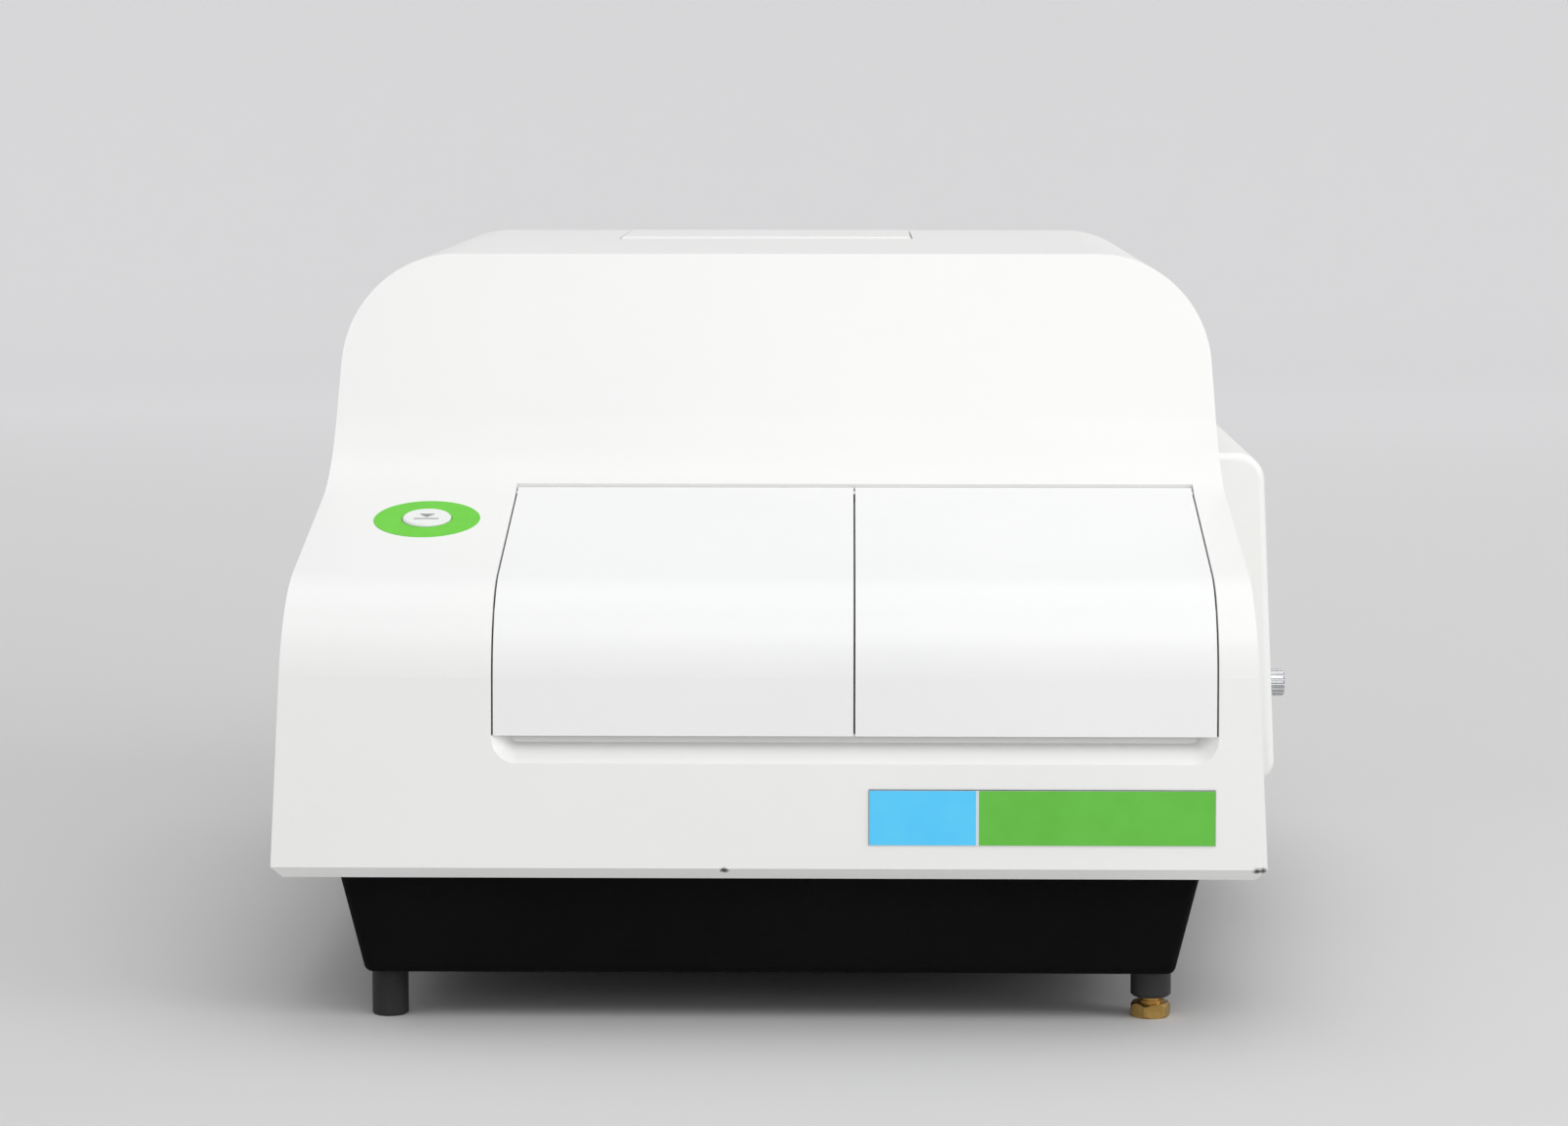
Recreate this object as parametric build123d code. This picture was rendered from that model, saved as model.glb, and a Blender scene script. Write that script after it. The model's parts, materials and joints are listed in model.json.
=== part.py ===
from build123d import *

import math
import os

# Bench-top microplate reader, one STEP file per piece.
#
# The casing is drawn with x = 0 on its middle plane, y = 0 at the front of the rim and z = 0 on the table;
# the front faces -Y. export_piece moves every piece so that the origin is the middle of the footprint.
# All sizes are millimetres.

# ---------------------------------------------------------------- casing
CASE_WIDTH = 470.0            # across the rim, the widest place
CASE_DEPTH = 580.0            # rim front to the rear wall
CASE_HEIGHT = 359.6           # table to the flat top
RIM_Z = 80.2                  # widest line of the casing
RIM_BEVEL_IN = 5.0            # bevel under the rim, inwards
RIM_BEVEL_DOWN = 5.6          # bevel under the rim, downwards
SIDE_DRAFT = 2.7              # degrees, side walls lean in
NOSE_LEAN = 4.43              # degrees, nose leans back
SLOPE_ANGLE = 13.6            # degrees, gentle slope above the doors' crest
SLOPE_Z = 203.8               # slope line's height at y = 0
FACE_LEAN = 24.0              # degrees, tall upper face leans back
TOP_FRONT_Y = 232.3           # crisp edge between upper face and top
CREST_RADIUS = 50.0           # nose to slope
BLEND_RADIUS = 65.0           # slope to upper face
ARCH_RADIUS = 57.0            # upper corners seen from the front
EDGE_RADIUS = 2.5             # soft edge all round the arch
COVER_WALL = 4.0

# ---------------------------------------------------------------- doors, scoop and button
DOOR_LEFT_X = -130.2          # middle of the left gap
DOOR_SEAM_X = 40.5            # middle of the gap between the doors
DOOR_RIGHT_X = 211.3          # middle of the right gap
DOOR_GAP = 0.9                # running gap round the doors
DOOR_WALL = 3.4
DOOR_RIB = 5.0                # depth of the ribs under a door
DOOR_BOTTOM_Z = 142.6
DOOR_HINGE_Y = 163.6          # hinge axis, just ahead of the seam
BARREL_RADIUS = 3.2           # rounded rear edge of a door or lid, round its hinge rod
SWING = 100.0                 # degrees, how far doors and lid open
SWING_CLEARANCE = 0.6         # outer face of a door or lid swung open, to the casing
HINGE_ROD_RADIUS = 1.5
ROD_CLEARANCE = 0.05          # radial, rods in barrels and lugs
SCOOP_BOTTOM_Z = 129.5        # finger scoop below the doors
SCOOP_DEPTH = 7.5
SCOOP_SLOPE = 52.0            # degrees, its floor and ends slope inwards
SCOOP_CORNER = 12.0
SCOOP_WALL = 3.0
BUTTON_X = -171.8
BUTTON_Y = 119.6
BUTTON_RADIUS = 12.1
BUTTON_RISE = 1.2             # above the ring
BUTTON_TRAVEL = 2.0
RING_RADIUS = 26.4
RING_THICK = 1.0
RING_PROUD = 0.25

# ---------------------------------------------------------------- badge on the nose
BADGE_X = 128.85
BADGE_Z = 104.35
BADGE_WIDTH = 162.6
BADGE_HEIGHT = 25.9
BADGE_BLUE = 50.3             # width of the blue field
BADGE_DIVIDER = 1.4
BADGE_BORDER = 0.1

# ---------------------------------------------------------------- lid in the top
LID_LEFT_X = -92.6
LID_RIGHT_X = 73.0
LID_FRONT_Y = 441.0
LID_REAR_Y = 566.0
LID_WALL = 3.7                # thinner than the cover, so that the lid clears its ledge
LID_RISE = 1.0                # raised field of the lid above the top
LID_GAP = 1.0

# ---------------------------------------------------------------- side housing
SIDE_FRONT_Y = 220.0
SIDE_REAR_Y = 480.0
SIDE_BOTTOM_Z = 83.0
SIDE_TOP_Z = 257.0
SIDE_DEPTH = 26.5             # beyond the casing's widest place, at the housing's foot
SIDE_REACH_X = CASE_WIDTH / 2 + SIDE_DEPTH
SIDE_CORNER = 15.0
SIDE_WALL = 3.0
SIDE_GAP = 0.5                # housing's edge to the casing wall
KNOB_Y = 260.0
KNOB_Z = 131.0
KNOB_RADIUS = 7.25
KNOB_LENGTH = 10.0
KNOB_FLUTES = 18

# ---------------------------------------------------------------- base and feet
BASE_HALF_TOP = 206.5         # half width of the black base under the rim
BASE_TAPER = 13.4             # degrees, its sides lean in downwards
BASE_FRONT_Y = 21.0
BASE_FRONT_TAPER = 4.0
BASE_REAR_Y = 560.0
BASE_BOTTOM_Z = 24.0
BASE_WALL = 2.5
BASE_CORNER = 5.0
FOOT_X = 184.0
FOOT_FRONT_Y = 45.0
FOOT_REAR_Y = 530.0
FOOT_RADIUS = 8.75
POST_RADIUS = 9.75
POST_BOTTOM_Z = 10.2
LEVEL_HEX = 17.7              # across the flats of the brass foot
LEVEL_HEX_HEIGHT = 7.0
LEVEL_STEM_RADIUS = 5.0
LEVEL_TRAVEL = 3.0            # how far the foot can be screwed out
LEVEL_GRIP = 13.0             # stem left in its thread when fully out

# ---------------------------------------------------------------- chassis and rear
PLATE_Z = 76.6                # underside of the chassis plate
PLATE_THICK = 4.0
PLATE_GAP = 1.0               # chassis plate's edge to the cover wall
PANEL_THICK = 2.0
PANEL_HALF = 198.0
PANEL_TOP_Z = 310.0
REAR_OPENING_HALF = 186.0
REAR_OPENING_TOP_Z = 300.0
BOSS_RADIUS = 6.0
BOSS_HEIGHT = 14.0
SCREW_RADIUS = 2.0
SCREW_LENGTH = 12.0
SCREW_HEAD_RADIUS = 4.0
SCREW_HEAD_HEIGHT = 1.9
FAN_X = -120.0
FAN_Z = 198.0
FAN_SIZE = 80.0
FAN_DEPTH = 25.0
FAN_BORE = 38.0
FAN_BLADES = 7
INLET_X = 150.0
INLET_Z = 112.0
SWITCH_Z = 148.0
SWITCH_THROW = 14.0           # degrees between off and on

# ---------------------------------------------------------------- bays behind the doors
LINER_WALL = 2.5
LINER_GAP = 0.4               # liner's rim to the inner face of the cover and the doors
LINER_FLOOR_Z = 96.0
LINER_FRONT_Y = 24.0
LINER_REAR_Y = 166.0
SLOT_BOTTOM_Z = 100.0         # slot in the rear wall of the loading bay
SLOT_TOP_Z = 133.0

# ---------------------------------------------------------------- plate transport
PLATE_LENGTH = 127.76         # footprint of a standard microplate
PLATE_WIDTH = 85.48
NEST_CLEARANCE = 0.35
NEST_DEPTH = 5.0
CARRIER_LENGTH = 142.0
CARRIER_WIDTH = 98.0
CARRIER_Z = 106.0             # underside of the carrier tray
CARRIER_THICK = 9.0
PARK_X = -45.0                # nest centre at rest, in line with the loading bay
PARK_Y = 330.0
LOAD_TRAVEL = 235.0           # out to the loading bay
ROW_TRAVEL = 160.0            # sideways under the optics
CARRIAGE_Y = 430.0            # carriage at rest
CARRIAGE_DEPTH = 34.0
BLOCK_WIDTH = 24.0            # a bearing block of the carriage
SLIDER_HALF = 20.0            # half the carrier's sliding block
BUFFER_ROOM = 7.0             # sliding block to bearing block at the end of its travel
CARRIAGE_HALF = PARK_X + ROW_TRAVEL + SLIDER_HALF + BUFFER_ROOM + BLOCK_WIDTH
Y_ROD_X = 154.0
Y_ROD_Z = 95.0
Y_ROD_RADIUS = 4.0
ROD_END_ROOM = 10.5           # carriage run right out to the front ends of its rods
Y_ROD_START = CARRIAGE_Y - LOAD_TRAVEL - CARRIAGE_DEPTH / 2 - ROD_END_ROOM
Y_ROD_END = 486.0
LEADSCREW_RADIUS = 3.0
X_ROD_Z = Y_ROD_Z + Y_ROD_RADIUS + LEADSCREW_RADIUS    # lead screw just over the Y rods
X_ROD_SPACING = 22.0
X_ROD_RADIUS = 3.0
SLIDING_CLEARANCE = 0.05      # radial, rods in bushes
BELT_X = 178.0                # middle of the belt loop
BELT_Z = 100.0
BELT_WIDTH = 6.0
BELT_THICK = 1.4
PULLEY_RADIUS = 9.0
PULLEY_TEETH = 18
PULLEY_FRONT_Y = 182.0
MOTOR_SIZE = 30.0
PULLEY_REAR_Y = 494.0

# ---------------------------------------------------------------- optics
OPTIC_X = 60.0                # vertical optical axis
OPTIC_Y = 298.0
BRIDGE_Z = 146.0
BRIDGE_THICK = 5.0
BRIDGE_HALF = 210.0
BRIDGE_FRONT_Y = 228.0
BRIDGE_REAR_Y = 556.0
BEAM_Z = 170.0                # horizontal excitation beam
HEAD_HALF_X = 45.0
HEAD_FRONT_Y = 248.0
HEAD_REAR_Y = 392.0
HEAD_TOP_Z = 206.0
FILTER_COUNT = 8
FILTER_RADIUS = 6.35
WHEEL_PITCH_RADIUS = 44.0
WHEEL_RADIUS = 54.0
WHEEL_Y = 446.0
WHEEL_THICK = 5.0
SLIDE_Z = 190.0
SLIDE_WIDTH = 26.0
SLIDE_THICK = 6.0
SLIDE_PITCH = 17.0
SLIDE_CLEARANCE = 0.4
LAMP_HOUSE_FRONT_Y = 462.0
LAMP_HOUSE_REAR_Y = 552.0
LAMP_HOUSE_HALF_X = 38.0
LAMP_HOUSE_TOP_Z = 226.0
DETECTOR_RADIUS = 27.0
DETECTOR_TOP_Z = 296.0
COOLER_Y = 330.0
COOLER_Z = 172.0
COOLER_SIZE = 76.0
COOLER_FINS = 11


# ---------------------------------------------------------------- small helpers
def block(x0, x1, y0, y1, z0, z1):
    """Block between two opposite corners."""
    return Pos((x0 + x1) / 2, (y0 + y1) / 2, (z0 + z1) / 2) * Box(x1 - x0, y1 - y0, z1 - z0)


def rod_x(x0, x1, y, z, radius):
    """Cylinder along X."""
    return Pos((x0 + x1) / 2, y, z) * Rot(0, 90, 0) * Cylinder(radius, x1 - x0)


def rod_y(y0, y1, x, z, radius):
    """Cylinder along Y."""
    return Pos(x, (y0 + y1) / 2, z) * Rot(90, 0, 0) * Cylinder(radius, y1 - y0)


def rod_z(z0, z1, x, y, radius):
    """Cylinder along Z."""
    return Pos(x, y, (z0 + z1) / 2) * Cylinder(radius, z1 - z0)


def outline(points, radii=0.0):
    """Closed face from corner points, each corner rounded by its own radius."""
    if isinstance(radii, (int, float)):
        radii = [radii] * len(points)
    return make_face(FilletPolyline(*points, radius=radii, close=True))


def extrude_x(points, radii, x0, x1):
    """Prism along X from (y, z) points."""
    return extrude(Plane.YZ.offset(x0) * outline(points, radii), x1 - x0)


def extrude_y(points, radii, y0, y1):
    """Prism along Y from (x, z) points."""
    return extrude(Plane.XZ.offset(-y1) * outline(points, radii), y1 - y0)


def extrude_z(points, radii, z0, z1):
    """Prism along Z from (x, y) points."""
    return extrude(Plane.XY.offset(z0) * outline(points, radii), z1 - z0)


def inset(points, distances):
    """Corners of a counter-clockwise polygon after each edge moves inwards by its own distance."""
    lines = []
    for index, start in enumerate(points):
        end = points[(index + 1) % len(points)]
        length = math.dist(start, end)
        along = ((end[0] - start[0]) / length, (end[1] - start[1]) / length)
        shift = distances[index]
        lines.append(((start[0] - along[1] * shift, start[1] + along[0] * shift), along))
    corners = []
    for index, (point, along) in enumerate(lines):
        before, before_along = lines[index - 1]
        cross = before_along[0] * along[1] - before_along[1] * along[0]
        gap = (point[0] - before[0], point[1] - before[1])
        step = (gap[0] * along[1] - gap[1] * along[0]) / cross
        corners.append((before[0] + before_along[0] * step, before[1] + before_along[1] * step))
    return corners


def export_piece(name, solids):
    """Write one named piece, moved so that the origin is the middle of the footprint."""
    parts = solids if isinstance(solids, list) else [solids]
    moved = [Pos(-ORIGIN_X, -ORIGIN_Y, 0) * solid for part in parts for solid in part.solids()]
    shape = moved[0] if len(moved) == 1 else Compound(children=moved)
    export_step(shape, f"parts/{name}.step")


# ---------------------------------------------------------------- casing outlines
def slope_height(y):
    """Height of the slope line at y."""
    return SLOPE_Z + y * math.tan(math.radians(SLOPE_ANGLE))


def crest_corner():
    """Where the nose line meets the slope line, as (y, z)."""
    lean = math.tan(math.radians(NOSE_LEAN))
    slope = math.tan(math.radians(SLOPE_ANGLE))
    y = lean * (SLOPE_Z - RIM_Z) / (1 - lean * slope)
    return y, slope_height(y)


def blend_corner():
    """Where the slope line meets the upper face line, as (y, z)."""
    lean = math.tan(math.radians(FACE_LEAN))
    slope = math.tan(math.radians(SLOPE_ANGLE))
    y = (TOP_FRONT_Y - lean * (CASE_HEIGHT - SLOPE_Z)) / (1 - lean * slope)
    return y, slope_height(y)


def side_outline(depth=0.0, bottom_depth=None):
    """Side view of the casing as (points, radii), moved inwards by depth."""
    rim_bottom = RIM_Z - RIM_BEVEL_DOWN
    points = [
        (RIM_BEVEL_IN, rim_bottom),
        (CASE_DEPTH - RIM_BEVEL_IN, rim_bottom),
        (CASE_DEPTH, RIM_Z),
        (CASE_DEPTH, CASE_HEIGHT),
        (TOP_FRONT_Y, CASE_HEIGHT),
        blend_corner(),
        crest_corner(),
        (0.0, RIM_Z),
    ]
    bottom = depth if bottom_depth is None else bottom_depth
    distances = [bottom] + [depth] * 7
    radii = [0, 0, 0, EDGE_RADIUS * (depth == 0), 0, BLEND_RADIUS + depth, CREST_RADIUS - depth, 0]
    return inset(points, distances), radii


def front_outline(depth=0.0, bottom_depth=None):
    """Front view of the casing as (points, radii), moved inwards by depth."""
    rim_bottom = RIM_Z - RIM_BEVEL_DOWN
    half = CASE_WIDTH / 2
    top_half = half - (CASE_HEIGHT - RIM_Z) * math.tan(math.radians(SIDE_DRAFT))
    points = [
        (-half + RIM_BEVEL_IN, rim_bottom),
        (half - RIM_BEVEL_IN, rim_bottom),
        (half, RIM_Z),
        (top_half, CASE_HEIGHT),
        (-top_half, CASE_HEIGHT),
        (-half, RIM_Z),
    ]
    bottom = depth if bottom_depth is None else bottom_depth
    arch = ARCH_RADIUS - depth
    return inset(points, [bottom] + [depth] * 5), [0, 0, 0, arch, arch, 0]


def casing_solid(depth=0.0, bottom_depth=None):
    """The casing's full volume, moved inwards by depth; bottom_depth below zero opens the underside."""
    side, side_radii = side_outline(depth, bottom_depth)
    front, front_radii = front_outline(depth, bottom_depth)
    profile = extrude_x(side, side_radii, -CASE_WIDTH / 2, CASE_WIDTH / 2)
    arch = extrude_y(front, front_radii, -5, CASE_DEPTH + 5)
    return profile & arch


def wall_x(z, depth=0.0):
    """Half width of the casing at height z, depth inside its outer face."""
    draft = math.radians(SIDE_DRAFT)
    return CASE_WIDTH / 2 - (z - RIM_Z) * math.tan(draft) - depth / math.cos(draft)


def surface_plane(x, y):
    """Plane on the slope at (x, y), its normal pointing out of the casing."""
    lean = math.radians(SLOPE_ANGLE)
    return Plane((x, y, slope_height(y)), x_dir=(1, 0, 0), z_dir=(0, -math.sin(lean), math.cos(lean)))


def nose_plane(x, z):
    """Plane on the nose at (x, z), its normal pointing out of the casing."""
    lean = math.radians(NOSE_LEAN)
    y = (z - RIM_Z) * math.tan(lean)
    return Plane((x, y, z), x_dir=(1, 0, 0), z_dir=(0, -math.cos(lean), math.sin(lean)))


def blend_centre():
    """Centre of the hollow blend between slope and upper face, as (y, z)."""
    corner = blend_corner()
    slope = math.radians(SLOPE_ANGLE)
    turn = math.radians(90 - FACE_LEAN - SLOPE_ANGLE)
    back = BLEND_RADIUS * math.tan(turn / 2)
    start = (corner[0] - back * math.cos(slope), corner[1] - back * math.sin(slope))
    return start[0] - BLEND_RADIUS * math.sin(slope), start[1] + BLEND_RADIUS * math.cos(slope)


def hinge_axis():
    """Door hinge axis as (y, z), one barrel radius under the surface of the hollow blend."""
    centre = blend_centre()
    reach = BLEND_RADIUS + BARREL_RADIUS
    dy = DOOR_HINGE_Y - centre[0]
    return DOOR_HINGE_Y, centre[1] - math.sqrt(reach ** 2 - dy ** 2)


def seam_frame():
    """Unit vectors along and out of the surface at the door hinge, as (along, out) in (y, z)."""
    centre = blend_centre()
    axis = hinge_axis()
    length = math.dist(centre, axis)
    out = ((centre[0] - axis[0]) / length, (centre[1] - axis[1]) / length)
    return (out[1], -out[0]), out


# ---------------------------------------------------------------- main cover
def scoop_solid(grow=0.0):
    """Volume of the finger scoop over the width of both doors: a tapered pocket."""
    half = (DOOR_RIGHT_X - DOOR_LEFT_X + DOOR_GAP) / 2 + grow
    face = nose_plane((DOOR_LEFT_X + DOOR_RIGHT_X) / 2, SCOOP_BOTTOM_Z)
    top = DOOR_BOTTOM_Z - SCOOP_BOTTOM_Z + 40
    points = [(-half, -grow), (half, -grow), (half, top), (-half, top)]
    radii = [SCOOP_CORNER + grow, SCOOP_CORNER + grow, 0, 0]
    mouth = face * outline(points, radii)
    return extrude(mouth, SCOOP_DEPTH + grow / 2, dir=-face.z_dir, taper=SCOOP_SLOPE)


def door_zone(x0, x1, bottom_z, gap):
    """Prism ahead of the door hinge, with room for the barrel, gap wider than the door."""
    axis = hinge_axis()
    along, out = seam_frame()
    low = (axis[0] - 12 * out[0], axis[1] - 12 * out[1])
    high = (axis[0] + 12 * out[0], axis[1] + 12 * out[1])
    points = [(-20, bottom_z), (100, bottom_z), low, high, (-20, CASE_HEIGHT)]
    barrel = rod_x(x0, x1, axis[0], axis[1], BARREL_RADIUS + gap)
    return extrude_x(points, 0, x0, x1) + barrel + swing_relief(x0, x1, axis[0], axis[1], along, out)


def swing_relief(x0, x1, y, z, along, out):
    """Wedge behind a hinge that clears the outer face of the door or lid swung fully open."""
    swing = math.radians(SWING)
    depth = 12
    reach = BARREL_RADIUS + SWING_CLEARANCE
    near = reach / math.sin(swing)
    far = (reach - depth * math.cos(swing)) / math.sin(swing)
    corners = [(0, 0), (near, 0), (far, depth), (0, depth)]
    points = [(y + s * along[0] + h * out[0], z + s * along[1] + h * out[1]) for s, h in corners]
    return extrude_x(points, 0, x0, x1)


def hinge_lugs(left, right, y, z, skin):
    """Two lugs under the cover's skin that hold the ends of a hinge rod, bored for it."""
    reach = BARREL_RADIUS + 1.8
    lugs = rod_x(left - 8, left, y, z, reach) + rod_x(right, right + 8, y, z, reach)
    return lugs & skin


def boss_places():
    """Centres of the bosses that take the cover screws, as (x, y)."""
    x = wall_x(PLATE_Z + PLATE_THICK + BOSS_HEIGHT, COVER_WALL) - 2 * BOSS_RADIUS
    return [(side * x, y) for side in (-1, 1) for y in (60.0, 300.0, 520.0)]


def screw_bosses():
    """Bosses inside the side walls, each tied to the wall by a rib."""
    low = PLATE_Z + PLATE_THICK
    bosses = []
    for x, y in boss_places():
        side = 1 if x > 0 else -1
        wall = side * wall_x(low, COVER_WALL / 2)
        rib = block(min(x, wall), max(x, wall), y - 2, y + 2, low, low + BOSS_HEIGHT)
        boss = rod_z(low, low + BOSS_HEIGHT, x, y, BOSS_RADIUS)
        hole = rod_z(low - 1, low + BOSS_HEIGHT - 4, x, y, SCREW_RADIUS + SLIDING_CLEARANCE)
        bosses.append(boss + (rib & casing_solid(COVER_WALL / 2, -1)) - hole)
    return bosses


def lid_axis():
    """Lid hinge axis as (y, z), its barrel flush with the top."""
    return LID_REAR_Y - BARREL_RADIUS, CASE_HEIGHT - BARREL_RADIUS


def lid_ledge():
    """Ledge under the top on which the closed lid rests at the front and the sides."""
    underside = CASE_HEIGHT - COVER_WALL
    outer = block(LID_LEFT_X - 8, LID_RIGHT_X + 8, LID_FRONT_Y - 8, LID_REAR_Y - 14,
                  underside - 3, underside)
    inner = block(LID_LEFT_X + 6, LID_RIGHT_X - 6, LID_FRONT_Y + 6, LID_REAR_Y, underside - 4, underside + 1)
    return outer - inner


def lid_opening():
    """Hole in the top for the lid and its barrel."""
    y, z = lid_axis()
    left, right = LID_LEFT_X - LID_GAP, LID_RIGHT_X + LID_GAP
    hole = block(left, right, LID_FRONT_Y - LID_GAP, y, CASE_HEIGHT - COVER_WALL, CASE_HEIGHT + 5)
    barrel = rod_x(left, right, y, z, BARREL_RADIUS + LID_GAP)
    return hole + barrel + swing_relief(left, right, y, z, (1, 0), (0, 1))


def side_lug_heights():
    """Middle heights of the two hinges of the side housing."""
    return [SIDE_BOTTOM_Z + 38, SIDE_TOP_Z - 38]


def side_axis():
    """Upright hinge axis of the side housing as (x, y)."""
    return wall_x(SIDE_BOTTOM_Z) + 6.5, SIDE_REAR_Y + 4.6


def side_hinge_lugs():
    """Lugs on the casing wall above and below each knuckle of the side housing."""
    x, y = side_axis()
    lugs = []
    for middle in side_lug_heights():
        for low in (middle - 13, middle + 7.3):
            arm = block(wall_x(low, COVER_WALL / 2), x, y - BARREL_RADIUS, y + BARREL_RADIUS, low, low + 5.7)
            lug = arm + rod_z(low, low + 5.7, x, y, BARREL_RADIUS)
            lugs.append(lug - rod_z(low - 1, low + 7, x, y, HINGE_ROD_RADIUS + ROD_CLEARANCE))
    return lugs


def fastener_boss():
    """Round post on the casing wall that receives the side fastener's tip."""
    face = side_face_x(KNOB_Z) - SIDE_WALL - 1.0
    post = rod_x(wall_x(KNOB_Z, COVER_WALL / 2), face, KNOB_Y, KNOB_Z, 7)
    return post - rod_x(face - 8, face + 1, KNOB_Y, KNOB_Z, 3.4)


def side_face_x(z):
    """Outer face of the side housing at height z."""
    return SIDE_REACH_X - (z - SIDE_BOTTOM_Z) * math.tan(math.radians(SIDE_DRAFT))


def make_main_cover():
    """Moulded casing: open underneath, with door opening, scoop, lid opening and rear opening."""
    skin = casing_solid(COVER_WALL / 2, -1)
    y, z = hinge_axis()
    lid_y, lid_z = lid_axis()
    left, right = DOOR_LEFT_X - DOOR_GAP / 2, DOOR_RIGHT_X + DOOR_GAP / 2
    cover = casing_solid() - casing_solid(COVER_WALL, -6)
    cover += hinge_lugs(left, right, y, z, skin)
    cover += hinge_lugs(LID_LEFT_X - LID_GAP, LID_RIGHT_X + LID_GAP, lid_y, lid_z, skin)
    cover += scoop_solid(SCOOP_WALL) & skin
    cover += lid_ledge()
    cover -= door_zone(left, right, DOOR_BOTTOM_Z, DOOR_GAP)
    cover -= scoop_solid()
    cover -= lid_opening()
    bore = HINGE_ROD_RADIUS + ROD_CLEARANCE
    cover -= rod_x(left - 7, right + 7, y, z, bore)
    cover -= rod_x(LID_LEFT_X - LID_GAP - 7, LID_RIGHT_X + LID_GAP + 7, lid_y, lid_z, bore)
    face = surface_plane(BUTTON_X, BUTTON_Y)
    cover -= face * Pos(0, 0, RING_PROUD - RING_THICK + 5) * Cylinder(RING_RADIUS + 0.1, 10)
    cover -= face * Cylinder(BUTTON_RADIUS + 0.5, 20)
    window = COOLER_SIZE / 2 + 6
    cover -= block(CASE_WIDTH / 2 - 25, CASE_WIDTH / 2 + 5, COOLER_Y - window, COOLER_Y + window,
                   COOLER_Z - window, COOLER_Z + window)
    cover -= block(-REAR_OPENING_HALF, REAR_OPENING_HALF, CASE_DEPTH - 10, CASE_DEPTH + 5,
                   RIM_Z + 12, REAR_OPENING_TOP_Z)
    for piece in screw_bosses() + side_hinge_lugs() + [fastener_boss()]:
        cover += piece
    return cover


# ---------------------------------------------------------------- doors and lid
def make_door(x0, x1):
    """Door that follows nose, crest and slope, with a barrel along its rear edge."""
    outer, outer_radii = side_outline()
    inner, inner_radii = side_outline(DOOR_WALL)
    shell = extrude_x(outer, outer_radii, x0, x1) - extrude_x(inner, inner_radii, x0 - 1, x1 + 1)
    y, z = hinge_axis()
    along, out = seam_frame()
    low = (y - 12 * out[0], z - 12 * out[1])
    high = (y + 12 * out[0], z + 12 * out[1])
    front = [(-20, DOOR_BOTTOM_Z), (100, DOOR_BOTTOM_Z), low, high, (-20, CASE_HEIGHT)]
    door = shell & extrude_x(front, 0, x0, x1)
    door += rod_x(x0, x1, y, z, BARREL_RADIUS)
    top, top_radii = side_outline(DOOR_WALL - 0.5)
    deep, deep_radii = side_outline(DOOR_WALL + DOOR_RIB)
    rib_front, rib_rear = LINER_FRONT_Y + 6, y - 18
    zone = [(rib_front, DOOR_BOTTOM_Z), (rib_rear, DOOR_BOTTOM_Z), (rib_rear, z + 20), (rib_front, z + 20)]
    for x in (x0 + 40, x1 - 43):
        rib = extrude_x(top, top_radii, x, x + 3) - extrude_x(deep, deep_radii, x - 1, x + 4)
        door += rib & extrude_x(zone, 0, x, x + 3)
    return door - rod_x(x0 - 1, x1 + 1, y, z, HINGE_ROD_RADIUS + ROD_CLEARANCE)


def make_lid():
    """Flat lid with a raised, bevelled field and a barrel along its rear edge."""
    y, z = lid_axis()
    under = CASE_HEIGHT - LID_WALL
    plate = block(LID_LEFT_X, LID_RIGHT_X, LID_FRONT_Y, y, under, CASE_HEIGHT)
    field = block(LID_LEFT_X, LID_RIGHT_X, LID_FRONT_Y, y - 8, CASE_HEIGHT - 1, CASE_HEIGHT + LID_RISE)
    rim = field.faces().sort_by(Axis.Z)[-1].edges()
    lid = plate + chamfer(rim, LID_RISE * 0.9) + rod_x(LID_LEFT_X, LID_RIGHT_X, y, z, BARREL_RADIUS)
    rib_z = under - 5
    for x in (LID_LEFT_X + 20, LID_RIGHT_X - 23):
        lid += block(x, x + 3, LID_FRONT_Y + 14, y - 14, rib_z, under + 0.5)
    return lid - rod_x(LID_LEFT_X - 1, LID_RIGHT_X + 1, y, z, HINGE_ROD_RADIUS + ROD_CLEARANCE)


def make_hinge_rods():
    """Steel rod through both doors, and the one through the lid."""
    y, z = hinge_axis()
    reach = DOOR_GAP / 2 + 6.5
    doors = rod_x(DOOR_LEFT_X - reach, DOOR_RIGHT_X + reach, y, z, HINGE_ROD_RADIUS)
    y, z = lid_axis()
    lid = rod_x(LID_LEFT_X - LID_GAP - 6.5, LID_RIGHT_X + LID_GAP + 6.5, y, z, HINGE_ROD_RADIUS)
    return [doors, lid]


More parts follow.
